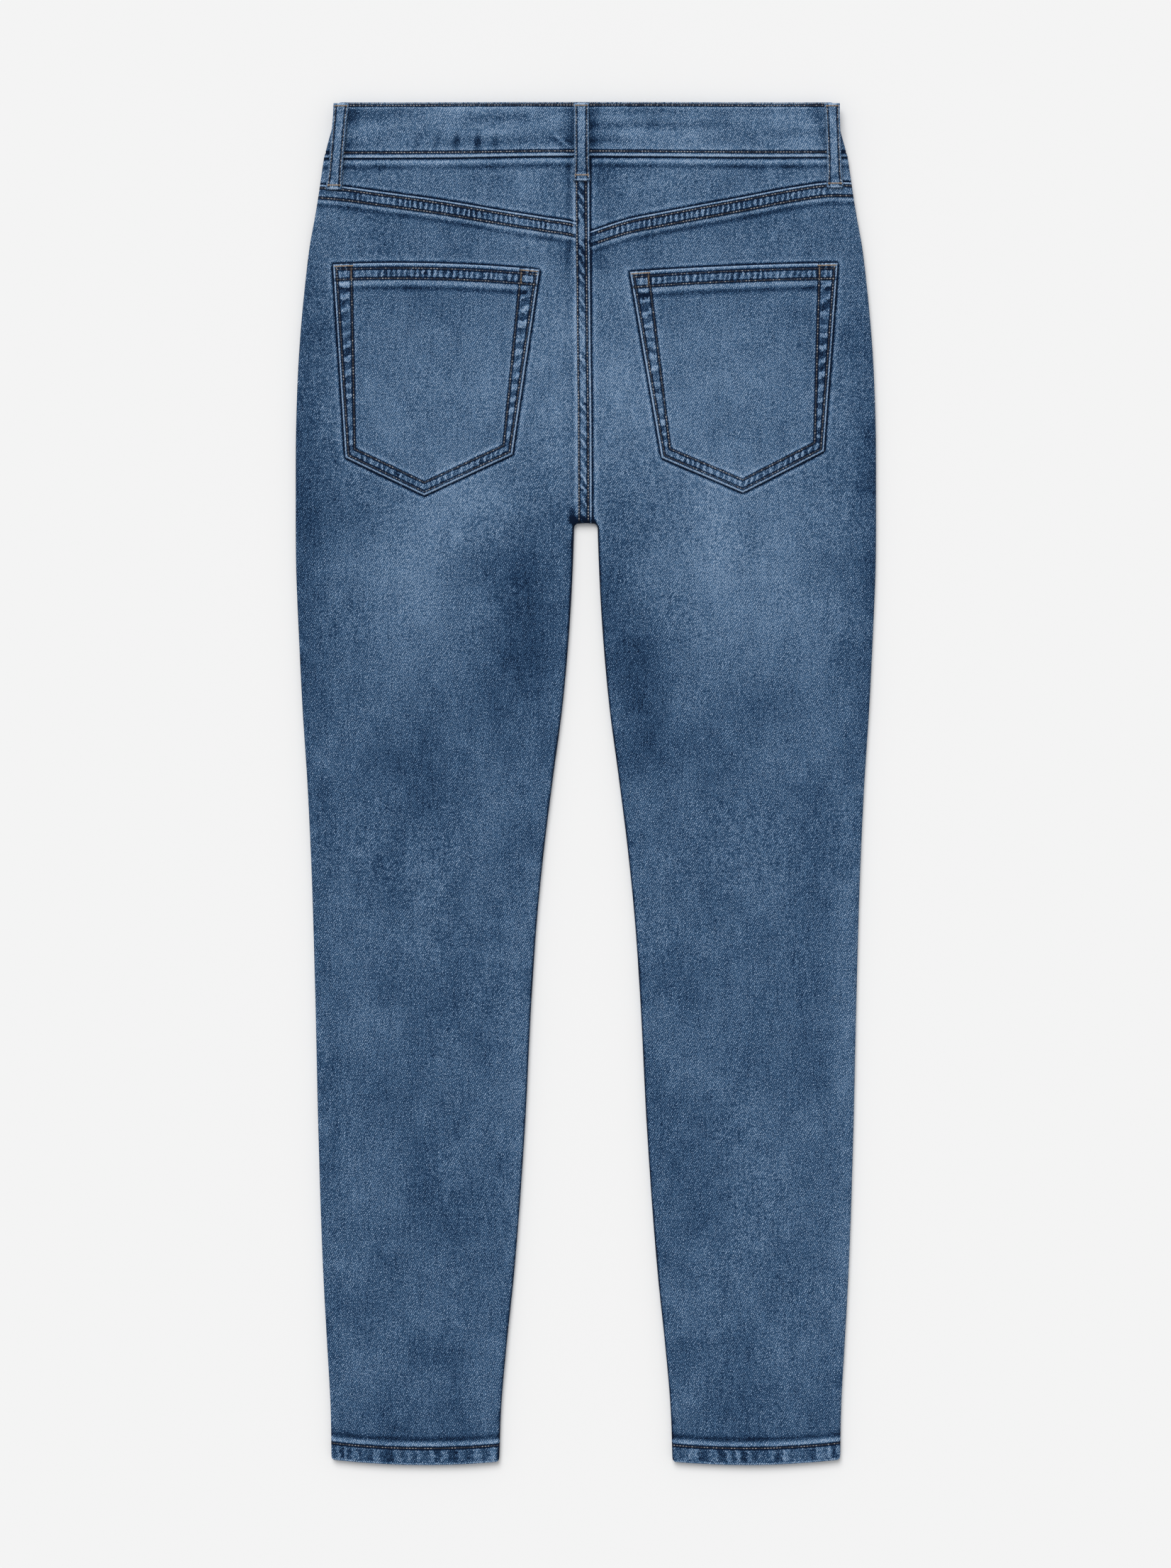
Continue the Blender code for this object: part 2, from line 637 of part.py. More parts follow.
def back_loop(loop):
    """A folded strip that stands off the waistband, its lower end sewn down on a lapped seam."""
    start = waistband_face(loop.top_x) + GAP
    end = float(back_top(loop.low_x, loop.length)) + BAND_RAISE + GAP
    outer_rows, inner_rows = [], []
    for part in (0.0, 0.012, 0.07, 0.13, 0.22, 0.36, 0.5, 0.64, 0.76, 0.87, 0.93, 0.988, 1.0):
        x = loop.top_x + (loop.low_x - loop.top_x) * part
        width = loop.mid_width + (loop.top_width - loop.mid_width) * (1.0 - float(smooth(part / 0.2)))
        width += (loop.low_width - loop.mid_width) * float(smooth((part - 0.75) / 0.25))
        stand = LOOP_STAND * float(smooth((part - 0.07) / 0.15) * (1.0 - smooth((part - 0.6) / 0.33)))
        under = start + (end - start) * float(smooth((part - 0.55) / 0.38)) + stand
        folded = LOOP_END * float(1.0 - smooth((part - 0.07) / 0.06) + smooth((part - 0.87) / 0.06))
        soft_end = 0.4 if part in (0.0, 1.0) else 0.0
        out, low = [], []
        for across, soft in ((-1.0, 0.4), (-0.88, 0.0), (0.88, 0.0), (1.0, 0.4)):
            place = x + across * width / 2.0
            out.append((place, part * loop.length, under + LOOP_THICK + folded - max(soft, soft_end)))
            low.append((place, part * loop.length, under))
        outer_rows.append(out)
        inner_rows.append(low)
    return closed_wall(loop.name, np.array(outer_rows), np.array(inner_rows), "denim_worn")


def front_loop(name, side):
    """A front loop, pressed flat between the front waistband and the ground."""
    top = float(front_top(FRONT_LOOP_X)) - WAISTBAND_DEPTH
    outer_rows, inner_rows = [], []
    for part in (0.0, 0.02, 0.98, 1.0):
        soft_end = 0.4 if part in (0.0, 1.0) else 0.0
        out, low = [], []
        for across, soft in ((-1.0, 0.4), (-0.88, 0.0), (0.88, 0.0), (1.0, 0.4)):
            place = side * FRONT_LOOP_X + across * 5.2
            out.append((place, top + part * FRONT_LOOP_LENGTH, LOOP_THICK))
            low.append((place, top + part * FRONT_LOOP_LENGTH, max(soft, soft_end)))
        outer_rows.append(out)
        inner_rows.append(low)
    return closed_wall(name, np.array(outer_rows), np.array(inner_rows), "denim_worn")


def waist_button():
    """A tack button: a domed cap on the ground and a neck up to the waistband."""
    neck_top = WAISTBAND_UNDER - GAP
    profile = [(3.0, neck_top), (3.0, 1.1), (BUTTON_RADIUS - 0.4, 1.1), (BUTTON_RADIUS, 0.7)]
    profile += [(BUTTON_RADIUS, 0.4), (BUTTON_RADIUS - 0.4, 0.0)]
    sides = 32
    drop = FRONT_DIP + WAISTBAND_DEPTH / 2.0
    points, faces = [], []
    for radius, z in profile:
        for k in range(sides):
            turn = 2.0 * math.pi * k / sides
            y = LENGTH / 2.0 - drop + radius * math.sin(turn)
            points.append((radius * math.cos(turn) * MM, y * MM, z * MM))
    for ring in range(len(profile) - 1):
        for k in range(sides):
            a, b = ring * sides + k, ring * sides + (k + 1) % sides
            faces.append((a, a + sides, b + sides, b))
    faces.append(tuple(range(sides)))
    faces.append(tuple(reversed(range((len(profile) - 1) * sides, len(profile) * sides))))
    mesh = bpy.data.meshes.new("waist_button")
    mesh.from_pydata(points, [], faces)
    mesh.update()
    mesh.materials.append(material("button_metal"))
    mesh.shade_smooth()
    mesh.set_sharp_from_angle(angle=math.radians(40))
    made = bpy.data.objects.new("waist_button", mesh)
    bpy.context.scene.collection.objects.link(made)
    return made


def build():
    for old in list(bpy.data.objects):
        bpy.data.objects.remove(old)
    for side, word in ((-1, "left"), (1, "right")):
        back_leg("back_leg_" + word, side)
        yoke("back_yoke_" + word, side)
        back_pocket("back_pocket_" + word, side)
        front("front_leg_" + word, side)
        pocket_bearer("front_pocket_bearer_" + word, side)
        front_loop("belt_loop_front_" + word, side)
    waistband()
    for loop in BACK_LOOPS:
        back_loop(loop)
    waist_button()


build()
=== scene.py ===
# %% [markdown]
# # Skinny jeans in washed stretch denim, laid flat with the back up
#
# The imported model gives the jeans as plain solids: two backs, two fronts, yokes, pockets,
# a waistband and loops. This lesson sews the same jeans again as thin cloth, with puckered
# seams, stitches and a wash, in the places of those solids.
#
# Cloth is made in mesh code here. A panel is a sheet with known edges, so rows of points
# worked out from its cut give clean seams, and every thread can find the cloth below it.

import math
from collections import namedtuple

import bpy
import numpy as np
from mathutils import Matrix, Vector


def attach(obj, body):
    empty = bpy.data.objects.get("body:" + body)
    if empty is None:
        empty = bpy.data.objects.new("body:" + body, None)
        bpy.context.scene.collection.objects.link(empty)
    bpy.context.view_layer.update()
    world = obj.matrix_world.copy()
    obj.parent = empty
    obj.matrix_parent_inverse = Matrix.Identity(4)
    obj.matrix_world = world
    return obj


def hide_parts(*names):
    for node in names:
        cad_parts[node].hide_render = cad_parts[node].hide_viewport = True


MM = 0.001
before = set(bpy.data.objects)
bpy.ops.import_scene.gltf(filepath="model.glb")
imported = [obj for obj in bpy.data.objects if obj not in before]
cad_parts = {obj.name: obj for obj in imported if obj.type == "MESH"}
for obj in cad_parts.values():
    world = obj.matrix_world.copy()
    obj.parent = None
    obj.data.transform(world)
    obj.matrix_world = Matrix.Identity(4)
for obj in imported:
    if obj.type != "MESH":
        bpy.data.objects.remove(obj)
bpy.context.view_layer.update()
print("CAD nodes:", len(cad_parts))

# %% [markdown]
# ## Sizes
#
# Jeans are cut from a size chart. These are the chart's values, in millimetres. The solids
# were made from the same ones, but for the gap's corners, the yoke seam and the pockets,
# which are drawn a little closer to the photograph here. A place on the jeans is x, its
# distance from the centre line, and drop, its distance below the waistband's top edge.

# %% Driving sizes
LENGTH = 1000.0
DENIM = 1.2
ROLL = 2.8  # how far in from a leg's side the cloth starts to turn down
SLIT = 0.02  # between back and front at the sides, where they are sewn together

LEG_HEIGHT = 5.6
SEAT_RISE = 0.6
WAIST_RISE = 0.6
CROWN_RISE = 1.3
WAIST_PROUD = 0.8
FRONT_LIFT = 2.2
LIFT_TOP, LIFT_END = 95.0, 180.0

BAND_RAISE = 1.1  # a lapped seam over the cloth beside it
YOKE_BAND = 11.0
CENTRE_BAND = 10.3
HEM_DEPTH = 15.0
HEM_RAISE = 0.5
HEM_BOW = 3.2
HEM_TILT = 0.8  # how much higher a hem's outer end is than its middle
HEM_CORNER = 2.6
STEP = 0.6

CROTCH_DROP = 308.0
CROTCH_FLAT = 5.0
CROTCH_ROUND = 3.6

WAISTBAND_DEPTH = 39.4
WAISTBAND_THICK = 2.0
WAISTBAND_TOP_HALF = 181.5
WAISTBAND_LOW_HALF = 192.4
WAISTBAND_UNDER = 1.7
FRONT_DIP = 25.0
BUTTON_END = 16.0
UNDER_END = 25.0

SCOOP_TOP = 50.0
SCOOP_DEPTH = 75.0
SCOOP_WIDTH = 87.0

# %% Outline, seams and folds
Level = namedtuple("Level", "drop half_width")
OUTSEAM = [
    Level(39.4, 192.4),
    Level(80, 198.5),
    Level(105, 203.0),
    Level(132, 206.3),
    Level(184, 210.9),
    Level(236, 213.0),
    Level(288, 213.3),
    Level(340, 213.0),
    Level(392, 210.9),
    Level(444, 208.3),
    Level(496, 204.9),
    Level(548, 202.3),
    Level(652, 199.0),
    Level(757, 196.6),
    Level(861, 193.0),
    Level(913, 190.2),
    Level(965, 187.5),
    Level(1000, 187.0),
]
INSEAM = [
    Level(310.6, 8.6),
    Level(340, 9.6),
    Level(392, 12.6),
    Level(444, 17.4),
    Level(496, 24.3),
    Level(548, 30.8),
    Level(600, 36.0),
    Level(652, 39.6),
    Level(757, 45.1),
    Level(861, 52.9),
    Level(913, 58.2),
    Level(965, 62.5),
    Level(1000, 63.6),
]

SeamPoint = namedtuple("SeamPoint", "from_centre drop_left drop_right")
YOKE_SEAM = [
    SeamPoint(-3.3, 91.2, 96.4),
    SeamPoint(9, 87.2, 92.1),
    SeamPoint(30, 83.7, 85.3),
    SeamPoint(56, 79.5, 79.9),
    SeamPoint(111, 70.2, 69.4),
    SeamPoint(154, 64.2, 61.2),
    SeamPoint(178, 60.9, 57.9),
    SeamPoint(197, 59.2, 57.9),
]

Fold = namedtuple("Fold", "x drop length width turn height")
FOLDS = [
    Fold(-92, 322, 60, 17, 28, 0.75),
    Fold(-128, 352, 74, 20, 24, -0.55),
    Fold(-60, 368, 46, 15, 40, 0.45),
    Fold(98, 326, 62, 18, -26, 0.75),
    Fold(136, 354, 70, 20, -22, -0.5),
    Fold(60, 372, 48, 15, -42, 0.45),
    Fold(-140, 560, 70, 26, -14, 0.5),
    Fold(-88, 604, 60, 22, 18, -0.4),
    Fold(120, 548, 66, 24, 16, 0.5),
    Fold(92, 612, 74, 24, -12, -0.4),
    Fold(-118, 782, 90, 20, 82, 0.35),
    Fold(122, 820, 95, 20, 97, 0.35),
    Fold(-20, 196, 60, 12, 62, 0.35),
    Fold(26, 214, 58, 12, -60, 0.35),
]
print("outline points:", len(OUTSEAM) + len(INSEAM), "folds:", len(FOLDS))

# %% [markdown]
# ## From tables to cloth
#
# A short table holds only the places that a tape measure would give. A smooth curve through
# them is a cubic between each pair of rows. Soft random waves come from a small lattice of
# random numbers, blended smoothly, and the same seed gives the same waves each time.


# %% Small mathematics
def smooth(t):
    """0 up to 1 with level ends, as t goes from 0 to 1."""
    t = np.clip(t, 0.0, 1.0)
    return t * t * (3.0 - 2.0 * t)


def bell(distance, width):
    return np.exp(-((distance / width) ** 2))


def through(table, column):
    """A smooth curve through a table: how much, in this column, against its first column."""
    where = np.array([row[0] for row in table], float)
    value = np.array([row[column] for row in table], float)
    slope = np.gradient(value, where)

    def read(at):
        at = np.clip(at, where[0], where[-1])
        i = np.clip(np.searchsorted(where, at, side="right") - 1, 0, len(where) - 2)
        span = where[i + 1] - where[i]
        t = (at - where[i]) / span
        ends = (1 + 2 * t) * (1 - t) ** 2 * value[i] + t**2 * (3 - 2 * t) * value[i + 1]
        bends = t * (1 - t) ** 2 * slope[i] - t**2 * (1 - t) * slope[i + 1]
        return ends + span * bends

    return read


LATTICE = 64


def rumple(x, drop, across, down, seed):
    """Soft random waves from -1 to 1, each about this far across and this far down."""
    lattice = np.random.default_rng(seed).uniform(-1.0, 1.0, (LATTICE, LATTICE))
    u, v = np.broadcast_arrays(np.asarray(x) / across, np.asarray(drop) / down)
    i, j = np.floor(u).astype(int), np.floor(v).astype(int)
    a, b = smooth(u - i), smooth(v - j)

    def corner(m, n):
        return lattice[(i + m) % LATTICE, (j + n) % LATTICE]

    upper = (1 - a) * corner(0, 0) + a * corner(1, 0)
    lower = (1 - a) * corner(0, 1) + a * corner(1, 1)
    return (1 - b) * upper + b * lower


outseam = through(OUTSEAM, 1)
inseam = through(INSEAM, 1)
yoke_seam = {-1: through(YOKE_SEAM, 1), 1: through(YOKE_SEAM, 2)}
print("half width at the knee:", round(float(outseam(560)), 1), "mm")


# %% How the cloth lies
def crown(x):
    """1 over the closed fly, falling to 0 towards the sides."""
    return 1.0 - smooth((np.abs(x) - 40.0) / 110.0)


def waist_share(drop):
    return 1.0 - smooth((drop - WAISTBAND_DEPTH - FRONT_DIP) / 90.0)


def folds(x, drop):
    """The largest soft folds: each is a long bell, turned in the plane of the cloth."""
    total = np.zeros(np.broadcast(x, drop).shape)
    for fold in FOLDS:
        turn = math.radians(fold.turn)
        along = (x - fold.x) * math.cos(turn) - (drop - fold.drop) * math.sin(turn)
        across = (x - fold.x) * math.sin(turn) + (drop - fold.drop) * math.cos(turn)
        total += fold.height * bell(along, fold.length) * bell(across, fold.width)
    return total


def front_under(drop):
    return FRONT_LIFT * (1.0 - smooth((drop - LIFT_TOP) / (LIFT_END - LIFT_TOP)))


def middle(drop):
    """Height of the side seams and inseams."""
    return (LEG_HEIGHT + WAIST_RISE * waist_share(drop) + front_under(drop)) / 2.0


def gap_edge(drop):
    """Half the gap between the legs, with rounded upper corners."""
    over = np.clip(CROTCH_DROP + CROTCH_ROUND - drop, 0.0, CROTCH_ROUND)
    rounded = CROTCH_FLAT + np.sqrt(CROTCH_ROUND**2 - over**2)
    return np.where(over > 0.0, rounded, inseam(drop))


def edge_distance(x, drop):
    """How far a point is from the outline's rolled sides and from the gap."""
    x = np.abs(x)
    over = CROTCH_DROP + CROTCH_ROUND - drop
    above = np.hypot(np.maximum(x - CROTCH_FLAT, 0.0), over) - CROTCH_ROUND
    to_gap = np.where(over > 0.0, above, x - inseam(drop))
    return np.maximum(np.minimum(outseam(drop) - x, to_gap), 0.0)


def lay(x, drop):
    """Height of the back's face, with its folds, its rumples and the side seams' puckers."""
    seat = smooth((drop - 60.0) / 80.0) * (1.0 - smooth((drop - 230.0) / 120.0))
    rise = waist_share(drop) * (WAIST_RISE + CROWN_RISE * crown(x)) + SEAT_RISE * seat
    soft = 0.24 * rumple(x, drop, 31, 44, 3) + 0.11 * rumple(x, drop, 12, 17, 5)
    pucker = 0.16 * rumple(x, drop, 60, 5.5, 7) * bell(edge_distance(x, drop), 7.0)
    return LEG_HEIGHT + rise + folds(x, drop) + soft + pucker


def underside(x, drop):
    """Height of the front's face: on the ground, with shallow rumples that rise from it."""
    return front_under(drop) + 0.12 * (1.0 + rumple(x, drop, 28, 40, 9))


def hem_bottom(x):
    """Drop of the hem's lower edge, and how much its rounded corner takes off."""
    inner, outer = inseam(LENGTH), outseam(LENGTH)
    across = (2.0 * np.abs(x) - inner - outer) / (outer - inner)
    near = np.clip(np.minimum(np.abs(x) - inner, outer - np.abs(x)) / HEM_CORNER, 0.0, 1.0)
    corner = HEM_CORNER * (1.0 - np.sqrt(1.0 - (1.0 - near) ** 2))
    return LENGTH - HEM_BOW * across**2 - HEM_TILT * across, corner


def cloth_points(x, drop, raised=0.0, thick=DENIM, face=1):
    """Outer and inner points of the cloth. face is 1 on the back and -1 on the front.

    Towards a rolled side the cloth turns through a quarter of an ellipse, so the inner
    point moves in from the side as well as down.
    """
    nudge = 0.05
    lean = np.clip(1.0 - edge_distance(x, drop) / ROLL, 0.0, 1.0)
    rise = np.sqrt(1.0 - lean**2)
    in_x = edge_distance(x + nudge, drop) - edge_distance(x - nudge, drop)
    in_drop = edge_distance(x, drop + nudge) - edge_distance(x, drop - nudge)
    inwards = thick * lean / np.maximum(np.hypot(in_x, in_drop), 1e-9)
    level = middle(drop)
    height = lay(x, drop) - level if face > 0 else level - underside(x, drop)
    outer_z = level + face * np.maximum((height + raised) * rise, SLIT / 2.0)
    inner_z = level + face * np.maximum((height + raised - thick) * rise, SLIT / 2.0)
    outer = np.stack([x, drop, outer_z], axis=-1)
    inner = np.stack([x + inwards * in_x, drop + inwards * in_drop, inner_z], axis=-1)
    return outer, inner


print("height over the seat:", round(float(lay(0.0, 150.0)), 2), "mm")

# %% [markdown]
# ## The wash
#
# Indigo sits on the outside of the warp yarns, so it rubs off where the jeans rub: on the
# thighs and the seat, along folded edges and on the ropes of a puckered seam. The dark in
# grooves, in creases, beside the loops and under a neighbour's folded edge is painted shade.
# Each point of cloth carries one number for the fade and most of that painted shade, from 0,
# deep indigo, to 1, nearly white, and the material turns that number into colour.

# %% Where the jeans are faded, and one painted shadow
WASH = 0.40  # the plain legs
ToneSpot = namedtuple("ToneSpot", "place x drop across down turn amount")
TONE_SPOTS = [
    ToneSpot("seat", 0, 185, 195, 120, 0, 0.10),
    ToneSpot("waist", 0, 20, 190, 40, 0, 0.09),
    ToneSpot("left thigh", -102, 300, 40, 60, 10, 0.12),
    ToneSpot("left thigh, outer", -128, 352, 46, 62, 0, 0.13),
    ToneSpot("right thigh", 104, 308, 48, 70, -8, 0.13),
    ToneSpot("right thigh, outer", 128, 366, 50, 60, 0, 0.12),
    ToneSpot("between the pockets, right", 16, 218, 26, 44, 0, 0.10),
    ToneSpot("between the pockets, left", -22, 205, 12, 40, 0, 0.05),
    ToneSpot("left inner thigh", -46, 372, 27, 62, -12, -0.15),
    ToneSpot("right inner thigh", 32, 410, 20, 62, 12, -0.13),
    ToneSpot("left outer side", -216, 290, 24, 190, 0, -0.13),
    ToneSpot("right outer side", 212, 290, 20, 190, 0, -0.09),
    # A painted shadow: the shade that the centre loop throws on the band and the yoke.
    ToneSpot("beside the centre loop", 3, 44, 24, 22, 0, -0.17),
    ToneSpot("below the yoke's point", 0, 113, 20, 9, 0, -0.14),
    ToneSpot("left knee", -122, 500, 36, 46, -20, -0.05),
    ToneSpot("right outer shin", 193, 740, 12, 170, 0, 0.07),
    ToneSpot("under the left pocket", -64, 290, 15, 15, 0, 0.10),
    ToneSpot("left outer thigh", -148, 305, 22, 40, 0, -0.07),
    ToneSpot("left thigh's inner side", -92, 342, 30, 24, 0, -0.08),
    ToneSpot("right thigh", 118, 335, 25, 35, 0, -0.05),
    ToneSpot("left inner shin", -47, 770, 10, 60, 0, 0.08),
    ToneSpot("left shin", -118, 880, 50, 110, 0, -0.03),
    ToneSpot("both ankles", 0, 975, 200, 22, 0, -0.04),
]


def wash_and_shade(x, drop):
    """How faded the cloth is at a place, with the centre loop's painted shadow, before its seams are
    counted.
    """
    total = np.full(np.broadcast(x, drop).shape, WASH)
    for faded in TONE_SPOTS:
        turn = math.radians(faded.turn)
        along = (x - faded.x) * math.cos(turn) - (drop - faded.drop) * math.sin(turn)
        down = (x - faded.x) * math.sin(turn) + (drop - faded.drop) * math.cos(turn)
        total += faded.amount * bell(along, faded.across) * bell(down, faded.down)
    return total + 0.045 * rumple(x, drop, 24, 34, 11) + 0.03 * rumple(x, drop, 8, 12, 12)


print("wash at the knee and on the thigh:", wash_and_shade(-120.0, 600.0), wash_and_shade(-100.0, 330.0))

# %% [markdown]
# ## Denim
#
# Denim is a 3/1 twill: a dark indigo warp floats over three pale weft yarns, then goes
# under one, and each row is shifted by a yarn. What the eye sees is a steep diagonal line
# of short light flecks. Stretch denim for jeans has 25 to 30 warp yarns a centimetre; the
# photograph's finest visible fleck takes in about four of them, so the flecks are drawn
# about 1.5 mm apart. Two cosine waves, one across the leaning lines and one down them,
# give the flecks. Noise moves each one a little and gives it its own strength.


# %% Colour and node helpers
def linear(code):
    """A colour such as "#3c5675" as linear red, green, blue and alpha."""
    parts = [int(code[i : i + 2], 16) / 255.0 for i in (1, 3, 5)]
    return [p / 12.92 if p <= 0.04045 else ((p + 0.055) / 1.055) ** 2.4 for p in parts] + [1.0]


def add(tree, kind, settings=None, inputs=None):
    """Adds a node. Its inputs are set to a value, or linked where the value is a socket."""
    node = tree.nodes.new(kind)
    for name, value in (settings or {}).items():
        setattr(node, name, value)
    for name, value in (inputs or {}).items():
        if isinstance(value, bpy.types.NodeSocket):
            tree.links.new(value, node.inputs[name])
        else:
            node.inputs[name].default_value = value
    return node


def new_material(name):
    """A material with an empty tree but for its shader."""
    made = bpy.data.materials.new(name)
    made.use_nodes = True
    return made, made.node_tree, made.node_tree.nodes["Principled BSDF"]


# %% [markdown]
# The seams' finest marks are drawn by the material as well, so that they stay crisp. Each
# point of cloth carries, besides its fade and painted shade, its distance in from the nearest
# folded edge, from a neighbour's folded edge that lies on it and from the nearest row of
# stitches, and where it is on a seam's ropes. Short profiles across these turn those
# distances into light and dark: a rubbed pale edge, and painted shadows beside a
# neighbour's edge and in a row's groove.

# %% Profiles across an edge and a row
# How much lighter or darker the cloth is at so many millimetres: faded inside its own folded
# edge; a painted shadow and then a pale ridge outside a neighbour's folded edge that lies on
# it; and painted shade in the groove to either side of a row.
EDGE_PROFILE = [(0.0, 0.05), (0.3, 0.22), (0.8, 0.46), (1.3, 0.24), (1.9, 0.02), (2.6, 0.0)]
BESIDE_SHADOW_PROFILE = [(0.0, -0.34), (0.5, -0.48), (1.1, -0.30), (1.8, -0.04), (2.8, 0.13)]
BESIDE_SHADOW_PROFILE += [(4.2, 0.04), (5.5, 0.0)]
HALF_ROW_SHADE = [(0.3, -0.3), (0.85, -0.5), (1.4, -0.14), (1.9, 0.06), (2.8, 0.0)]
ROW_SHADE_PROFILE = [(-mm, amount) for mm, amount in HALF_ROW_SHADE[::-1]] + HALF_ROW_SHADE
# Light enough, a worn yarn shows its undyed core; the dark end is deep indigo, and it also colours the
# painted shade in grooves and under folded edges.
INDIGO = [
    (0.0, "#0a172c"),
    (0.10, "#122845"),
    (0.25, "#233e5c"),
    (0.42, "#3b5775"),
    (0.58, "#4e6d8f"),
    (0.80, "#718fb1"),
    (1.0, "#a1b4cb"),
]
FLECK_ACROSS, FLECK_DOWN = 1.45, 1.05  # mm between light flecks
TWILL_LEAN = 0.62  # mm that a twill line moves across for each mm that it climbs
FLECK_WANDER = 28.0  # mm, how gently the lines bend
FLECK_JITTER = 2.0  # mm, how soon one fleck's place differs from the next one's
SLUB_WIDTH, SLUB_LENGTH = 1.3, 24.0  # mm, the streak of a thick warp yarn
WEFT_WIDTH, WEFT_LENGTH = 1.2, 30.0  # mm, the faint line of a thick weft yarn
MOTTLE = 9.0  # mm, the blotches of stone washing
BLOTCH = 3.0  # mm, the smaller ones


def profile(tree, value, stops):
    """A curve through (place, amount) stops, less 0.5, for amounts from -0.5 to 0.5."""
    low, high = stops[0][0], stops[-1][0]
    share = add(
        tree, "ShaderNodeMapRange", {}, {"Value": value, "From Min": low, "From Max": high}
    )
    ramp = add(tree, "ShaderNodeValToRGB", {}, {0: share.outputs[0]})
    ramp.color_ramp.interpolation = "EASE"
    elements = ramp.color_ramp.elements
    for place, amount in stops[1:-1]:
        elements.new((place - low) / (high - low)).color = [0.5 + amount] * 3 + [1.0]
    elements[0].color = [0.5 + stops[0][1]] * 3 + [1.0]
    elements[-1].color = [0.5 + stops[-1][1]] * 3 + [1.0]
    return ramp.outputs[0]


def carried(tree, name):
    return add(tree, "ShaderNodeAttribute", {"attribute_name": name}).outputs["Fac"]


def sum_up(tree, total, parts):
    """Adds (source, amount, rest) parts: each gives (source - rest) x amount."""
    for source, amount, rest in parts:
        total = add(
            tree,
            "ShaderNodeMath",
            {"operation": "MULTIPLY_ADD"},
            {0: source, 1: amount, 2: total},
        ).outputs[0]
        if rest:
            total = add(
                tree, "ShaderNodeMath", {"operation": "SUBTRACT"}, {0: total, 1: amount * rest}
            ).outputs[0]
    return total


def wave(tree, turns):
    """1 at each whole turn and 0 half way between."""
    angle = add(tree, "ShaderNodeMath", {"operation": "MULTIPLY"}, {0: turns, 1: 2 * math.pi})
    swing = add(tree, "ShaderNodeMath", {"operation": "COSINE"}, {0: angle.outputs[0]})
    half = {0: swing.outputs[0], 1: 0.5, 2: 0.5}
    return add(tree, "ShaderNodeMath", {"operation": "MULTIPLY_ADD"}, half).outputs[0]


def spread(tree, mm, scale, low, high):
    """Noise with so many features a millimetre, spread from low to high."""
    noise = add(tree, "ShaderNodeTexNoise", {}, {"Vector": mm, "Scale": scale})
    ends = {"From Min": 0.32, "From Max": 0.68, "To Min": low, "To Max": high}
    return add(tree, "ShaderNodeMapRange", {}, {"Value": noise.outputs[0], **ends}).outputs[0]


def ropes(tree, mm):
    """0 in a rope's hollow and 1 on its back, from the place along the seam."""
    wobble = add(tree, "ShaderNodeTexNoise", {}, {"Vector": mm, "Scale": 0.35, "Detail": 1.0})
    bent = sum_up(tree, carried(tree, "along"), [(wobble.outputs[0], 0.7, 0.5)])
    backs = add(
        tree,
        "ShaderNodeMapRange",
        {"interpolation_type": "SMOOTHSTEP"},
        {"Value": wave(tree, bent), "From Min": 0.35, "From Max": 0.9},
    )
    return backs.outputs[0]


def lattice(tree, mm, worn_and_shaded):
    """Short light flecks on leaning lines, which run together where the cloth is palest, as on rubbed
    places.
    """
    bent = mm
    for size, shift in ((FLECK_WANDER, 4.0), (FLECK_JITTER, 1.6)):
        noise = add(tree, "ShaderNodeTexNoise", {}, {"Vector": mm, "Scale": 1 / size})
        moved = {0: noise.outputs["Color"], 1: (shift, shift, 0.0), 2: bent}
        bent = add(tree, "ShaderNodeVectorMath", {"operation": "MULTIPLY_ADD"}, moved).outputs[0]
    axes = add(tree, "ShaderNodeSeparateXYZ", {}, {0: bent})
    lean = sum_up(tree, axes.outputs["X"], [(axes.outputs["Y"], -TWILL_LEAN, 0.0)])
    across = add(tree, "ShaderNodeMath", {"operation": "DIVIDE"}, {0: lean, 1: FLECK_ACROSS})
    rows = add(
        tree, "ShaderNodeMath", {"operation": "DIVIDE"}, {0: axes.outputs["Y"], 1: FLECK_DOWN}
    )
    down = sum_up(tree, rows.outputs[0], [(across.outputs[0], 0.4, 0.0)])
    joined = add(
        tree,
        "ShaderNodeMapRange",
        {},
        {"Value": worn_and_shaded, "From Min": 0.50, "From Max": 0.90, "To Min": 0.35, "To Max": 0.75},
    )
    dashes = add(
        tree,
        "ShaderNodeMix",
        {"data_type": "FLOAT"},
        {0: joined.outputs[0], 2: wave(tree, down), 3: 1.0},
    )
    own = spread(tree, mm, 0.9, 0.1, 1.9)
    # In a dark hollow the weft hardly shows, so the flecks are weaker.
    shown = add(
        tree,
        "ShaderNodeMapRange",
        {},
        {"Value": worn_and_shaded, "From Min": 0.05, "From Max": 0.45, "To Min": 0.3, "To Max": 1.0},
    )
    lit = wave(tree, across.outputs[0])
    for share in (dashes.outputs[0], own, shown.outputs[0]):
        lit = add(tree, "ShaderNodeMath", {"operation": "MULTIPLY"}, {0: lit, 1: share}).outputs[0]
    return lit


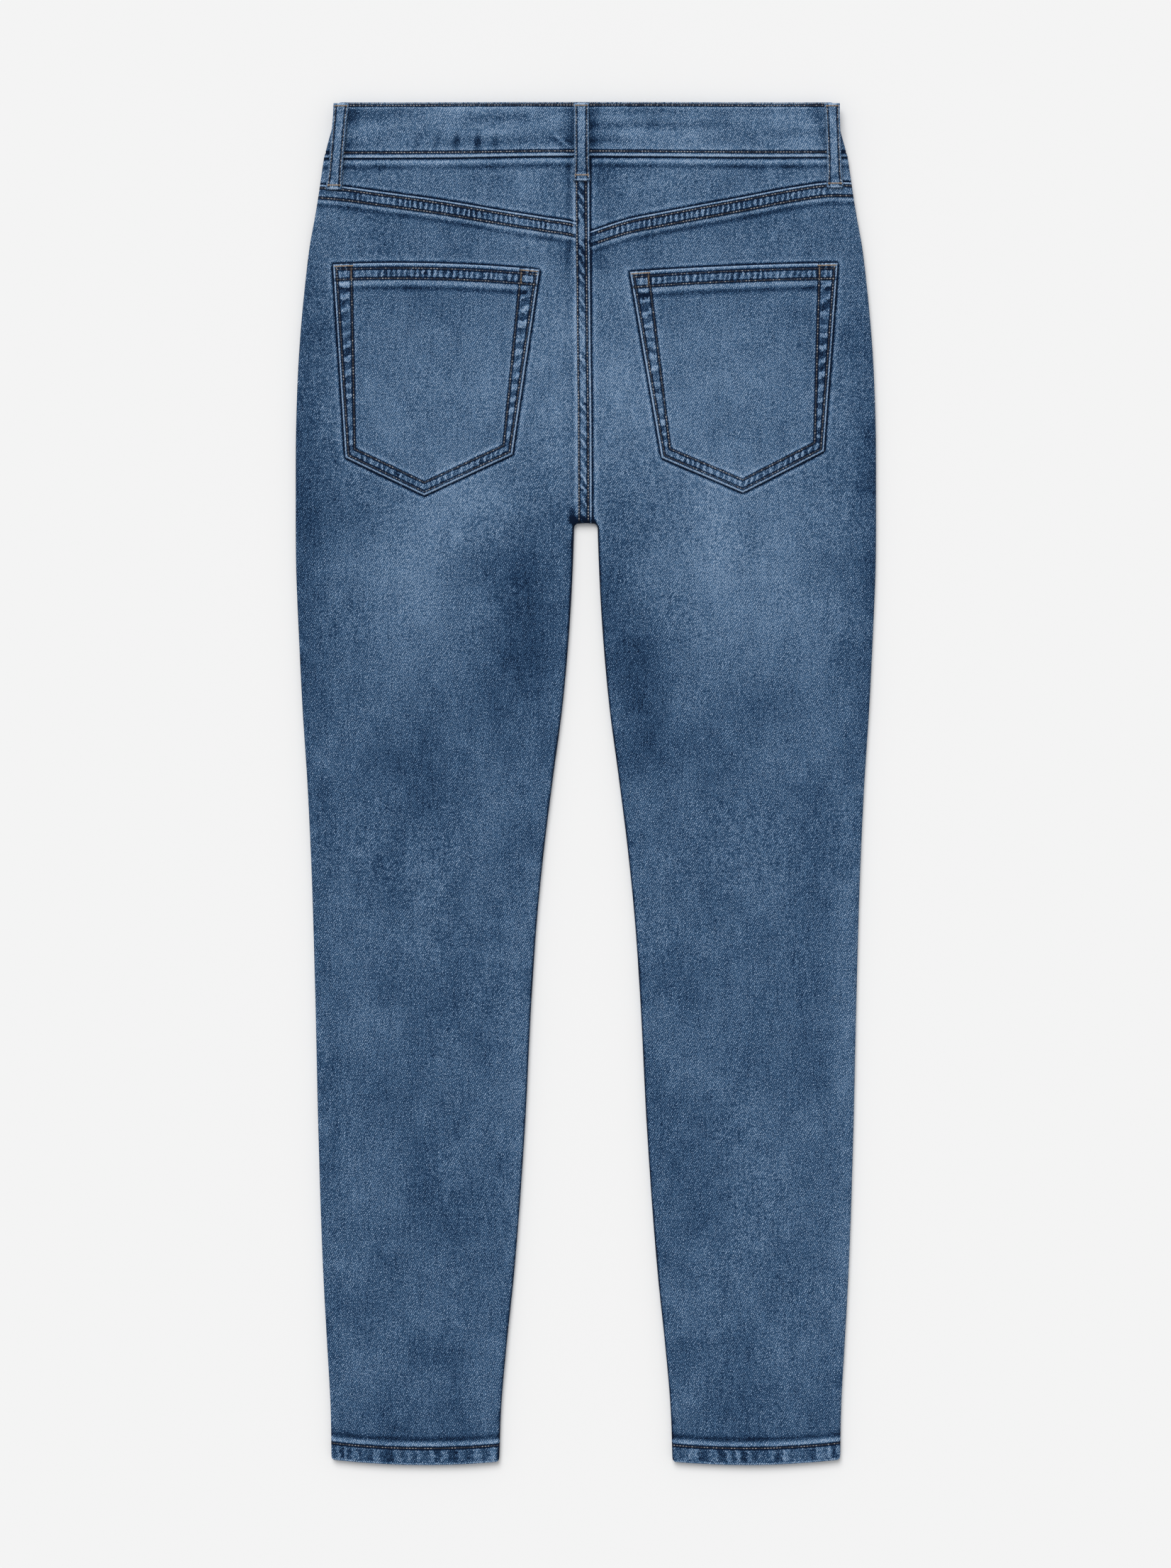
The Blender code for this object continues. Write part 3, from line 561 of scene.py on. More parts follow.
# %% Washed twill
def twill(name, fleck, tint):
    """Twill cloth. fleck is the flecks' contrast, and tint how much further it is faded."""
    made, tree, shader = new_material(name)
    place = add(tree, "ShaderNodeTexCoord").outputs["Object"]
    scaled = add(tree, "ShaderNodeVectorMath", {"operation": "SCALE"}, {0: place, "Scale": 1 / MM})
    mm = scaled.outputs[0]
    backs = ropes(tree, mm)
    raised = add(
        tree, "ShaderNodeMath", {"operation": "MULTIPLY"}, {0: backs, 1: carried(tree, "rope")}
    )
    seam = [(raised.outputs[0], 0.5, 0.0), (carried(tree, "rope"), -0.24, 0.0)]
    for distance, stops, amount in (
        ("edge", EDGE_PROFILE, 1.05),
        ("beside", BESIDE_SHADOW_PROFILE, 1.1),
        ("row", ROW_SHADE_PROFILE, 1.0),
        ("inner_row", ROW_SHADE_PROFILE, 1.0),
        ("hem_row", ROW_SHADE_PROFILE, 1.0),
    ):
        seam.append((profile(tree, carried(tree, distance), stops), amount, 0.5))
    # Abrasion takes off single yarns, so a seam's lights and darks, its painted shade among them, are
    # broken up.
    broken = spread(tree, mm, 1.1, 0.6, 1.4)
    worn_and_shaded = sum_up(tree, carried(tree, "fade"), [(sum_up(tree, 0.0, seam), broken, 0.0)])
    flecks = lattice(tree, mm, worn_and_shaded)
    grain = [(flecks, fleck, 0.31)]
    for across, down, detail, amount in (
        (SLUB_WIDTH, SLUB_LENGTH, 1.0, 0.26),
        (WEFT_LENGTH, WEFT_WIDTH, 1.0, 0.08),
        (MOTTLE, MOTTLE, 2.0, 0.16),
        (BLOTCH, BLOTCH, 2.0, 0.20),
    ):
        stretched = add(
            tree,
            "ShaderNodeVectorMath",
            {"operation": "MULTIPLY"},
            {0: mm, 1: (1 / across, 1 / down, 0.0)},
        )
        streak = add(
            tree,
            "ShaderNodeTexNoise",
            {},
            {"Vector": stretched.outputs[0], "Scale": 1.0, "Detail": detail},
        )
        grain.append((streak.outputs[0], amount, 0.5))
    shown = sum_up(tree, worn_and_shaded, grain)
    shifted = add(tree, "ShaderNodeMath", {"operation": "ADD"}, {0: shown, 1: tint})
    ramp = add(tree, "ShaderNodeValToRGB", {}, {0: shifted.outputs[0]})
    stops = ramp.color_ramp.elements
    for where, code in INDIGO[1:-1]:
        stops.new(where).color = linear(code)
    stops[0].color, stops[-1].color = linear(INDIGO[0][1]), linear(INDIGO[-1][1])
    height = sum_up(tree, 0.0, [(flecks, 0.08, 0.0), (raised.outputs[0], 0.2, 0.0)])
    relief = add(tree, "ShaderNodeBump", {}, {"Height": height, "Strength": 1.0, "Distance": MM})
    tree.links.new(ramp.outputs[0], shader.inputs["Base Color"])
    tree.links.new(relief.outputs[0], shader.inputs["Normal"])
    # Cotton is matt, and its loose fibres catch light at a low angle, which is the sheen.
    shader.inputs["Roughness"].default_value = 0.9
    shader.inputs["Specular IOR Level"].default_value = 0.05
    shader.inputs["Sheen Weight"].default_value = 0.02
    shader.inputs["Sheen Roughness"].default_value = 0.5
    return made


denim = twill("stone_washed_stretch_denim", 0.75, 0.0)
denim_worn = twill("abraded_loop_denim", 0.85, 0.02)
print("twill nodes:", len(denim.node_tree.nodes))

# %% [markdown]
# ## Thread and button metal
#
# Topstitching is spun polyester, about 0.6 mm thick and drawn at 0.7 mm, so that it shows
# as it does in the photograph. It is half faded here and half still dark. The bartacks,
# which lock the loops and the pocket corners, are sewn in a tan thread. Each stitch carries
# its own tone, so a row isn't one even colour. The tack button is brass with an antique
# copper plating, pressed and tumbled, so it is a metal with a soft gloss.


# %% Thread and metal
def thread(name, dark, light):
    """Spun thread: its two plies show as a slanting twist, and tone picks its colour."""
    made, tree, shader = new_material(name)
    tone = add(tree, "ShaderNodeAttribute", {"attribute_name": "tone"}).outputs["Fac"]
    place = add(tree, "ShaderNodeTexCoord").outputs["Object"]
    ply = add(
        tree,
        "ShaderNodeTexWave",
        {"bands_direction": "DIAGONAL"},
        {"Vector": place, "Scale": 0.5 / (0.4 * MM) / 3.0, "Distortion": 1.5},
    )
    mixed = add(
        tree,
        "ShaderNodeMix",
        {"data_type": "RGBA"},
        {0: tone, 6: linear(dark), 7: linear(light)},
    )
    twist = add(
        tree,
        "ShaderNodeBump",
        {},
        {"Height": ply.outputs["Fac"], "Strength": 0.5, "Distance": 0.08 * MM},
    )
    tree.links.new(mixed.outputs[2], shader.inputs["Base Color"])
    tree.links.new(twist.outputs[0], shader.inputs["Normal"])
    shader.inputs["Roughness"].default_value = 0.7
    shader.inputs["Sheen Weight"].default_value = 0.15
    return made


topstitch = thread("faded_topstitch_thread", "#1c1a1d", "#bdbab8")
bartack_thread = thread("tan_bartack_thread", "#4a3a2e", "#bda488")


def plated_brass(name):
    made, tree, shader = new_material(name)
    place = add(tree, "ShaderNodeTexCoord").outputs["Object"]
    patina = add(tree, "ShaderNodeTexNoise", {}, {"Vector": place, "Scale": 600.0, "Detail": 4.0})
    ramp = add(tree, "ShaderNodeValToRGB", {}, {0: patina.outputs[0]})
    ramp.color_ramp.elements[0].color = linear("#6b452b")
    ramp.color_ramp.elements[1].color = linear("#b98560")
    tree.links.new(ramp.outputs[0], shader.inputs["Base Color"])
    shader.inputs["Metallic"].default_value = 1.0
    shader.inputs["Roughness"].default_value = 0.38
    return made


copper = plated_brass("antique_copper_plated_brass")
print("materials:", [m.name for m in (denim, denim_worn, topstitch, bartack_thread, copper)])

# %% [markdown]
# ## Making a panel from rows
#
# A panel is rows of points, from its top edge to its bottom edge, each with an outer and
# an inner point. Where the detail is fine a row has twice or four times the points, and
# three triangles take up each change, so one panel holds a crisp seam and a calm field.
# The inner points make the wall, and a rim closes it all round. The reverse of denim is
# mostly undyed weft, so the inner points are given a pale fade.

# %% Rows to a closed piece of cloth
Relief = namedtuple("Relief", "height fade edge beside row inner_row hem_row rope along")
Row = namedtuple("Row", "outer inner relief")
FAR = 12.0  # mm, for cloth with no edge or row near it
REVERSE = Relief(0.0, 0.80, FAR, FAR, FAR, FAR, FAR, 0.0, 0.0)
pieces_made = []


def plain(x):
    """The relief of plain cloth at these places."""
    none = np.zeros(np.shape(x))
    far = none + FAR
    return Relief(none, none, far, far, far, far, far, none, none)


def faces_between(start, count, next_start, next_count):
    """Faces between two rows of points, one of which may have twice the steps."""
    if count == next_count:
        j = np.arange(count - 1)
        corners = [start + j, next_start + j, next_start + j + 1, start + j + 1]
        return np.stack(corners, axis=-1).tolist()
    finer_first = count > next_count
    fine, coarse = (start, next_start) if finer_first else (next_start, start)
    j = np.arange(min(count, next_count) - 1)
    f, c = fine + 2 * j, coarse + j
    fans = [(f, c, f + 1), (f + 1, c, c + 1), (f + 1, c + 1, f + 2)]
    found = np.concatenate([np.stack(fan, axis=-1) for fan in fans])
    return (found if finer_first else found[:, ::-1]).tolist()


def to_world(points):
    """From (x, drop, z) in millimetres to the frame, in metres."""
    x, drop, z = points[:, 0], points[:, 1], points[:, 2]
    return np.stack([x, LENGTH / 2.0 - drop, z], axis=-1) * MM


def corners_of(points, faces):
    """The first, second and third corners of the triangles that make up these faces."""
    fans = [(face[0], face[k], face[k + 1]) for face in faces for k in range(1, len(face) - 1)]
    return [points[np.array(fans)[:, k]] for k in range(3)]


def volume_of(points, faces):
    """Six times the volume inside the faces, below zero where they point inwards."""
    a, b, c = corners_of(points, faces)
    return float(np.einsum("ij,ij->i", a, np.cross(b, c)).sum())


def place_in_frame(made, nodes=()):
    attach(made, "root")
    if nodes:
        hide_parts(*nodes)
    pieces_made.append(made)


def closed_piece(name, points, faces, finish, numbers):
    """A mesh object that carries numbers for each point, with its faces pointing outwards."""
    if volume_of(points, faces) < 0.0:
        faces = [face[::-1] for face in faces]
    mesh = bpy.data.meshes.new(name)
    mesh.from_pydata(points.tolist(), [], faces)
    for carried_name, values in numbers.items():
        carrier = mesh.attributes.new(carried_name, "FLOAT", "POINT")
        carrier.data.foreach_set("value", np.asarray(values, np.float32))
    mesh.materials.append(finish)
    mesh.shade_smooth()
    mesh.set_sharp_from_angle(angle=math.radians(60))
    mesh.update()
    made = bpy.data.objects.new(name, mesh)
    bpy.context.scene.collection.objects.link(made)
    return made


def cloth(name, rows, nodes, finish=denim):
    """Makes one piece of cloth from its rows, puts it in the frame and hides the solids it replaces."""
    counts = [len(row.outer) for row in rows]
    starts = np.concatenate([[0], np.cumsum(counts)[:-1]]).astype(int)
    layer = sum(counts)
    outside = []
    for i in range(len(rows) - 1):
        outside += faces_between(starts[i], counts[i], starts[i + 1], counts[i + 1])
    first, last = starts, starts + np.array(counts) - 1
    rim = list(range(first[0], last[0] + 1)) + list(last[1:])
    rim += list(range(last[-1] - 1, first[-1] - 1, -1)) + list(first[-2:0:-1])
    faces = outside + [[i + layer for i in face[::-1]] for face in outside]
    faces += [[i, k, k + layer, i + layer] for i, k in zip(rim, rim[1:] + rim[:1])]
    faces = [[int(i) for i in face] for face in faces]
    outer = to_world(np.concatenate([row.outer for row in rows]))
    inner = to_world(np.concatenate([row.inner for row in rows]))
    numbers = {}
    for carried_name in Relief._fields[1:]:
        shown = [getattr(row.relief, carried_name) for row in rows]
        hidden = [np.full(layer, getattr(REVERSE, carried_name))]
        numbers[carried_name] = np.concatenate(shown + hidden)
    made = closed_piece(name, np.concatenate([outer, inner]), faces, finish, numbers)
    place_in_frame(made, nodes)
    return made


# %% [markdown]
# ## Seams
#
# The yoke and the centre back are lapped seams: one panel's edge is folded under, laid on
# the next one and sewn down with two rows. Washing shrinks the cloth but not the thread,
# so the band between the rows draws up into small slanting ropes. The ropes' backs rub
# pale and the hollows stay dark. All of it follows two numbers, the distance in from the
# fold and the distance along the seam, so one function serves every lapped seam.

# %% A lapped seam
FOLD_ROUND = 0.9  # mm over which a folded edge turns down
GROOVE, GROOVE_DEPTH = 0.6, 0.4  # the groove that a row of stitches pulls
Seam = namedtuple("Seam", "band near far ridge slant pitch")
YOKE = Seam(YOKE_BAND, 2.6, 10.0, 12.3, 0.05, 3.9)
CENTRE = Seam(CENTRE_BAND, 2.6, 9.4, 11.0, 1.5, 8.6)


def folded_edge(offset):
    """0.2 at a folded edge, rising in a quarter circle to 1."""
    inside = np.clip(offset / FOLD_ROUND, 0.0, 1.0)
    return 0.2 + 0.8 * np.sqrt(1.0 - (1.0 - inside) ** 2)


def uneven(along, across, seed):
    """How strong the ropes are along a seam, from 0.2 to 1."""
    return np.clip(0.75 + 0.55 * rumple(along, across, 6.0, 40.0, seed), 0.2, 1.0)


def lapped(offset, along, seam, seed, rope=1.0):
    """Relief of a lapped seam, from the distance in from its fold and along it."""
    flat = 1.0 - smooth((offset - seam.band + STEP) / (2.0 * STEP))
    wander = 1.0 * rumple(along, offset, 9.0, 30.0, seed)
    turns = (along + seam.slant * offset + wander) / seam.pitch
    between = smooth((offset - seam.near - 0.5) / 0.8)
    between = between * (1.0 - smooth((offset - seam.far + 1.3) / 0.8))
    strength = rope * uneven(along, offset, seed + 1) * between
    patch = rumple(along, offset, 13.0, 60.0, seed + 2)
    ridge = (1.0 + 0.35 * patch) * bell(offset - seam.ridge, 1.5)
    trough = (1.0 - 0.35 * patch) * bell(offset - seam.ridge - 3.0, 1.9)
    grooves = bell(offset - seam.near, GROOVE) + bell(offset - seam.far, GROOVE)
    height = BAND_RAISE * flat * folded_edge(offset)
    height += 0.26 * strength * np.cos(2.0 * math.pi * turns)
    height += 0.14 * ridge - 0.10 * trough - GROOVE_DEPTH * grooves
    rise = np.clip((offset - seam.near) / (seam.far - seam.near), 0.0, 1.0)
    fade = 0.25 * ridge - 0.20 * trough + between * (0.12 * rise + 0.05 * patch - 0.04)
    return plain(offset)._replace(
        height=height,
        fade=fade,
        edge=np.minimum(offset, FAR),
        row=np.minimum(offset - seam.near, FAR),
        inner_row=np.minimum(offset - seam.far, FAR),
        rope=strength,
        along=turns,
    )


def together(first, second):
    """Two seams on one panel. Each keeps its own marks."""
    nearest = [np.minimum(a, b) for a, b in zip(first[2:7], second[2:7])]
    return Relief(
        first.height + second.height,
        first.fade + second.fade,
        *nearest,
        np.maximum(first.rope, second.rope),
        np.where(second.edge < first.edge, second.along, first.along),
    )


def yoke_band(x, drop, side):
    """Relief of the seam between the yoke and the leg's back."""
    plain_end = 1.0 - smooth((side * x - 176.0) / 14.0)
    offset = drop - yoke_seam[side](side * x)
    return lapped(offset, x, YOKE, 20 + side, 0.15 + 0.85 * plain_end)


HEM_ROW = 12.2
HEM_ROPE = 11.0  # mm, a hem's ropes are wider than a seam's


def hem_band(x, drop, seed):
    """Relief of a turned-up hem, sewn with one row. Its uneven ropes stand nearly upright."""
    offset = hem_bottom(x)[0] - drop
    flat = 1.0 - smooth((offset - HEM_DEPTH + STEP) / (2.0 * STEP))
    turns = (x + 0.1 * offset + 9.0 * rumple(x, offset, 17.0, 60.0, seed)) / HEM_ROPE
    between = smooth((offset - 1.4) / 1.4) * (1.0 - smooth((offset - HEM_ROW + 1.8) / 1.0))
    strength = 0.62 * uneven(x, offset, seed + 1) * between
    patch = rumple(x, offset, 11.0, 50.0, seed + 2)
    groove = bell(offset - HEM_ROW, GROOVE)
    height = HEM_RAISE * flat * folded_edge(offset) - GROOVE_DEPTH * groove
    height += 0.3 * strength * np.cos(2.0 * math.pi * turns)
    fade = 0.27 * (1.0 + 0.4 * patch) * bell(offset - HEM_ROW - 3.0, 1.4)
    fade -= 0.18 * (1.0 - 0.3 * patch) * bell(offset - HEM_ROW - 6.7, 2.0)
    fade += 0.07 * patch * between - 0.20 * bell(offset - 0.8, 0.9)
    return plain(offset)._replace(
        height=height,
        fade=fade,
        edge=np.minimum(offset, FAR),
        hem_row=np.clip(offset - HEM_ROW, -FAR, FAR),
        rope=strength,
        along=turns,
    )


# %% [markdown]
# The centre fold leans a little, as the left half was pulled over the right one. A panel
# that goes under a neighbour's folded edge gets a painted shadow there, and its first few
# millimetres beyond it are drawn up into a pale ridge, so each panel asks how far it is from those.

# %% What lies beside a folded edge
FoldPoint = namedtuple("FoldPoint", "drop x")
CENTRE_FOLD = [
    FoldPoint(39.0, 2.6),
    FoldPoint(78.0, 2.7),
    FoldPoint(130.0, 3.1),
    FoldPoint(175.0, 3.5),
    FoldPoint(225.0, 4.1),
    FoldPoint(308.0, 4.4),
]
LowEdge = namedtuple("LowEdge", "x drop")
WAIST_LOW = [
    LowEdge(-192, 40.0),
    LowEdge(-140, 39.9),
    LowEdge(-85, 39.6),
    LowEdge(-38, 38.8),
    LowEdge(38, 38.9),
    LowEdge(85, 39.3),
    LowEdge(192, 39.2),
]
Notch = namedtuple("Notch", "drop left right")
# How far the painted shade of the notch above the gap reaches to either side.
NOTCH = [
    Notch(288.0, 4.0, 4.0),
    Notch(294.0, 7.8, 4.0),
    Notch(298.0, 9.8, 4.2),
    Notch(303.0, 10.2, 4.8),
    Notch(307.0, 9.6, 7.0),
]
centre_fold, waist_low = through(CENTRE_FOLD, 1), through(WAIST_LOW, 1)
notch_left, notch_right = through(NOTCH, 1), through(NOTCH, 2)


def beside_centre(x, drop):
    """How far outside the centre seam's fold a point of a right panel is."""
    return np.where(x > 0.0, x - centre_fold(drop), FAR)


def centre_ridge(x, drop):
    """The pale ridge that the centre seam's second row pulls up on the left panels."""
    offset = centre_fold(drop) - x - CENTRE.ridge
    pulled = 0.27 * bell(offset, 1.5) - 0.10 * bell(offset - 4.0, 2.4)
    return pulled * (x < 0.0) * (1.0 + 0.4 * rumple(x, drop, 40.0, 9.0, 44))


def gap_shadow_and_ridge(x, drop):
    """The inseams meet over the gap in a notch: its shade and the shadow along their thick rim are
    painted dark, with a pale ridge outside.
    """
    out = np.abs(x)
    notch = np.where(x < 0.0, notch_left(drop), notch_right(drop))
    below = smooth((drop - 306.5) / 5.0)
    reach = (1.0 - below) * notch + below * (inseam(drop) + 0.4)
    # Painted shade: dark in the notch above the gap and along the inseams' thick rim.
    upper = 0.22 * smooth((drop - 291.0) / 9.0) * smooth((out - 4.6) / 4.0)
    dark = np.clip(upper + 0.48 * smooth((drop - 301.5) / 4.0), 0.0, 0.55)
    dark *= 1.0 - 0.5 * smooth((drop - 312.0) / 30.0)
    pale = 0.15 * bell(out - reach - 2.2, 1.6) * smooth((drop - 288.0) / 5.0)
    pale *= 1.0 - smooth((drop - 310.0) / 12.0)
    return pale - dark * (1.0 - smooth((out - reach + 0.3) / 1.8))


# %% [markdown]
# ## The pocket's cut
#
# A patch pocket has five corners. Its top is hemmed and bows up a little, its other edges
# are turned under, and two rows of stitches hold it down. The second row isn't parallel to
# the sides: it starts wider at the top. The distance to each line says where a point is.

# %% Corners, edges and rows
Corner = namedtuple("Corner", "name x_left drop_left x_right drop_right")
POCKET = [
    Corner("top inner", 33.9, 122.1, 32.3, 123.8),
    Corner("low inner", 53.9, 257.7, 55.6, 260.3),
    Corner("tip", 118.6, 287.9, 115.3, 285.9),
    Corner("low outer", 176.5, 260.0, 174.7, 255.4),
    Corner("top outer", 185.6, 118.2, 184.9, 117.2),
]
POCKET_BOW = {-1: 2.7, 1: 1.2}
POCKET_ROW = 2.4
SECOND_TOP, SECOND_TURN, SECOND_LOW = 13.3, 7.2, 8.5
POCKET_HEM_ROWS = (4.0, 11.45)
POCKET_PITCH = 1.4
TURNED = 0.45  # what a turned-under edge adds
Line = namedtuple("Line", "start inwards")
Cut = namedtuple("Cut", "points edges first second")


def within(line, out, drop):
    """How far inside a line a point is."""
    return (out - line.start[0]) * line.inwards[0] + (drop - line.start[1]) * line.inwards[1]


def lines_through(points, inside):
    """The lines between these points, each with the direction that points inside."""
    lines = []
    for start, end in zip(points, points[1:]):
        along = end - start
        inwards = np.array([-along[1], along[0]]) / np.hypot(*along)
        lines.append(Line(start, inwards if inwards @ (inside - start) > 0.0 else -inwards))
    return lines


def meeting(line, distance, other, other_distance):
    """The point at these distances inside two lines."""
    reach = [line.inwards @ line.start + distance, other.inwards @ other.start + other_distance]
    return np.linalg.solve(np.array([line.inwards, other.inwards]), reach)


def pocket_cut(side):
    column = 1 if side < 0 else 3
    points = [np.array(corner[column : column + 2], float) for corner in POCKET]
    inside = sum(points) / len(points)
    edges = lines_through(points, inside)
    top = lines_through([points[0], points[-1]], inside)[0]

    def row(high, turn, low):
        ends = [meeting(top, 1.2, edges[0], high), meeting(edges[0], turn, edges[1], low)]
        ends.append(meeting(edges[1], low, edges[2], low))
        ends.append(meeting(edges[2], low, edges[3], turn))
        return ends + [meeting(edges[3], high, top, 1.2)]

    first = row(POCKET_ROW, POCKET_ROW, POCKET_ROW)
    second = row(SECOND_TOP, SECOND_TURN, SECOND_LOW)
    return Cut(points, edges, first, second)


CUTS = {side: pocket_cut(side) for side in (-1, 1)}


def pocket_top(side, out):
    """Drop of the pocket's bowed top edge."""
    inner, outer = CUTS[side].points[0], CUTS[side].points[-1]
    share = np.clip((out - inner[0]) / (outer[0] - inner[0]), 0.0, 1.0)
    bow = POCKET_BOW[side] * 4.0 * share * (1.0 - share)
    return inner[1] + share * (outer[1] - inner[1]) - bow


def pocket_depths(x, drop, side):
    """How far inside the top, the sides, the low edges and the second row a point is."""
    cut, out = CUTS[side], side * x
    deep = [within(line, out, drop) for line in cut.edges]
    inside = sum(cut.points) / len(cut.points)
    rows = [within(line, out, drop) for line in lines_through(cut.second, inside)]
    top = drop - pocket_top(side, out)
    return top, np.minimum(deep[0], deep[3]), np.minimum(deep[1], deep[2]), np.min(rows, axis=0)


print("pocket tips:", [CUTS[side].points[2].round(1).tolist() for side in CUTS])

# %% [markdown]
# ## Leg backs
#
# Each leg's back is one panel from the yoke to the hem. Its rows follow the yoke seam at
# the top, level out on the seat, turn down over the gap between the legs and bow at the
# hem. The rows carry 224 steps in the lapped seam, 56 in the field and 112 in the hem.

# %% Rows and columns of a leg
SEAM_LEVEL, ROWS_LEVEL_AT = 72.0, 260.0
SEAM_OFFSETS = [0, 0.2, 0.5, 0.9, 1.5, 2.1, 2.6, 3.1, 3.7, 4.6, 5.6, 6.6, 7.6, 8.6, 9.4, 10, 10.6]
SEAM_OFFSETS += [11.4, 12.3, 13.3, 14.5, 16, 18]
FIELD_STEPS, FIELD_PITCH = 56, 3.4
ROLL_OFFSETS = ROLL * (1.0 - np.cos(np.radians([0.0, 22.0, 42.0, 58.0, 74.0, 90.0])))
GAP_CORNER = CROTCH_DROP + CROTCH_ROUND * (1.0 - np.cos(np.radians([25.0, 50.0, 70.0, 90.0])))
# Above the gap a panel starts under the centre seam: how far out its first columns are.
CENTRE_COLUMNS = {
    -1: np.array([5.0, 5.8, 6.6, 7.4, 8.4, 9.6]),
    1: np.array([1.0, 2.5, 4.0, 5.5, 7.0, 8.6]),
}


def spaced(start, end, pitch):
    """Places from start, about this far apart, without the end."""
    return np.linspace(start, end, max(2, round((end - start) / pitch) + 1))[:-1]


def columns(inner, edge, steps, field_steps=FIELD_STEPS):
    """Places along a row: its inner ones, an even field and the rolled outer side."""
    roll = edge - ROLL_OFFSETS[::-1]
    field = np.linspace(inner[-1], roll[0], field_steps + 3 - len(inner) - len(roll))[1:-1]
    keys = np.concatenate([inner, field, roll])
    return np.interp(np.linspace(0, 1, steps + 1), np.linspace(0, 1, field_steps + 1), keys)


def leg_levels():
    """Each row's level, and how many steps it has."""
    seam = SEAM_LEVEL + np.array(SEAM_OFFSETS)
    calm = seam[-1] + np.array([2.0, 4.0])
    over = CROTCH_DROP - ROLL_OFFSETS[::-1]
    seat = spaced(calm[-1] + 2.5, over[0], FIELD_PITCH)
    hem = spaced(LENGTH - 22.0, LENGTH - 1.6, 1.0)
    leg = spaced(GAP_CORNER[-1] + 2.0, hem[0], FIELD_PITCH)
    end = LENGTH - np.array([1.6, 1.1, 0.7, 0.35, 0.12, 0.0])
    rows = [(level, 4 * FIELD_STEPS) for level in seam]
    rows += [(level, 2 * FIELD_STEPS) for level in calm]
    rows += [(level, FIELD_STEPS) for level in np.concatenate([seat, over, GAP_CORNER, leg])]
    return rows + [(level, 2 * FIELD_STEPS) for level in np.concatenate([hem, end])]


def bend_to_hem(drop, x, level):
    """Bows the lowest rows to the hem's edge; the last ones follow its round corners."""
    bottom, corner = hem_bottom(x)
    low = smooth((level - 860.0) / 100.0)
    tight = np.clip(1.0 - (LENGTH - level) / HEM_DEPTH, 0.0, 1.0)
    return drop - low * (LENGTH - bottom) - tight * corner


def leg_relief(x, drop, side):
    marks = together(yoke_band(x, drop, side), hem_band(x, drop, 30 + side))
    top, flank, low, _ = pocket_depths(x, drop, side)
    outside = -np.min([top, flank, low], axis=0)
    # Painted shade in the notch above the gap, the pale ridges beside it and the centre seam, and light
    # and dark that follow the side seams' puckers.
    shade = gap_shadow_and_ridge(x, drop) + centre_ridge(x, drop)
    shade += 0.05 * rumple(x, drop, 60, 5.5, 7) * bell(edge_distance(x, drop), 5.0)
    # beside brings the painted shadow outside the centre seam's fold and around the pocket.
    beside = np.minimum(beside_centre(x, drop), outside)
    return marks._replace(fade=marks.fade + shade, beside=np.clip(beside, -2.0, FAR))


def leg_surface(x, drop, side):
    """Height of the leg's outer face, for what is sewn on it."""
    return cloth_points(x, drop, leg_relief(x, drop, side).height)[0][..., 2]


def woven(x, drop, relief, thick, face=1):
    """One row of a panel: its points, and its marks on top of the wash."""
    outer, inner = cloth_points(x, drop, relief.height, thick, face)
    return Row(outer, inner, relief._replace(fade=relief.fade + wash_and_shade(face * x, drop)))


# %% Both leg backs
def leg_back(word, side):
    rows = []
    for level, steps in leg_levels():
        above = level <= CROTCH_DROP
        inner = CENTRE_COLUMNS[side] if above else float(gap_edge(level)) + ROLL_OFFSETS
        follow = 1.0 - smooth((level - SEAM_LEVEL) / (ROWS_LEVEL_AT - SEAM_LEVEL))

        def drop_at(out):
            return level + follow * (yoke_seam[side](out) - SEAM_LEVEL)

        edge = float(outseam(level))
        for _ in range(4):
            edge = float(outseam(drop_at(edge)))
        x = side * columns(inner, edge, steps)
        drop = bend_to_hem(drop_at(np.abs(x)), x, level)
        relief = leg_relief(x, drop, side)
        rows.append(woven(x, drop, relief, DENIM + relief.height))
    name = "leg_back_" + word
    return cloth(name, rows, ["back_leg_" + word])


SIDES = {"left": -1, "right": 1}
for word, side in SIDES.items():
    leg_back(word, side)

# %% [markdown]
# ## Yokes
#
# The yoke is the shaped piece that gives jeans their seat in place of darts. Its top edge
# goes under the waistband and its lower edge under the leg's fold, so both are drawn a
# little further than they show, and the cloth dips in those two corners, with a painted shadow there.

# %% Both yokes
YOKE_UNDERLAP = 0.9  # mm hidden below a neighbour's folded edge
YOKE_LINES = 34


def yoke_relief(x, drop, side):
    below_band = drop - waist_low(x)
    under_fold = yoke_seam[side](side * x) - drop
    patch = rumple(x, drop, 15, 60, 41)
    fade = 0.03 + centre_ridge(x, drop) + 0.03 * rumple(x, drop, 6, 11, 42)
    fade += (0.13 + 0.06 * patch) * bell(below_band - 3.5, 1.4)
    fade -= (0.20 - 0.07 * patch) * bell(below_band - 7.0, 1.9)
    # beside brings the painted shadow under the waistband's edge, above the leg's fold and beside the
    # centre seam.
    beside = np.minimum(beside_centre(x, drop), np.minimum(below_band, under_fold))
    return plain(x)._replace(
        height=-0.30 * bell(under_fold, 1.6) - 0.25 * bell(below_band, 1.6),
        fade=fade,
        beside=np.clip(beside, -2.0, FAR),
    )


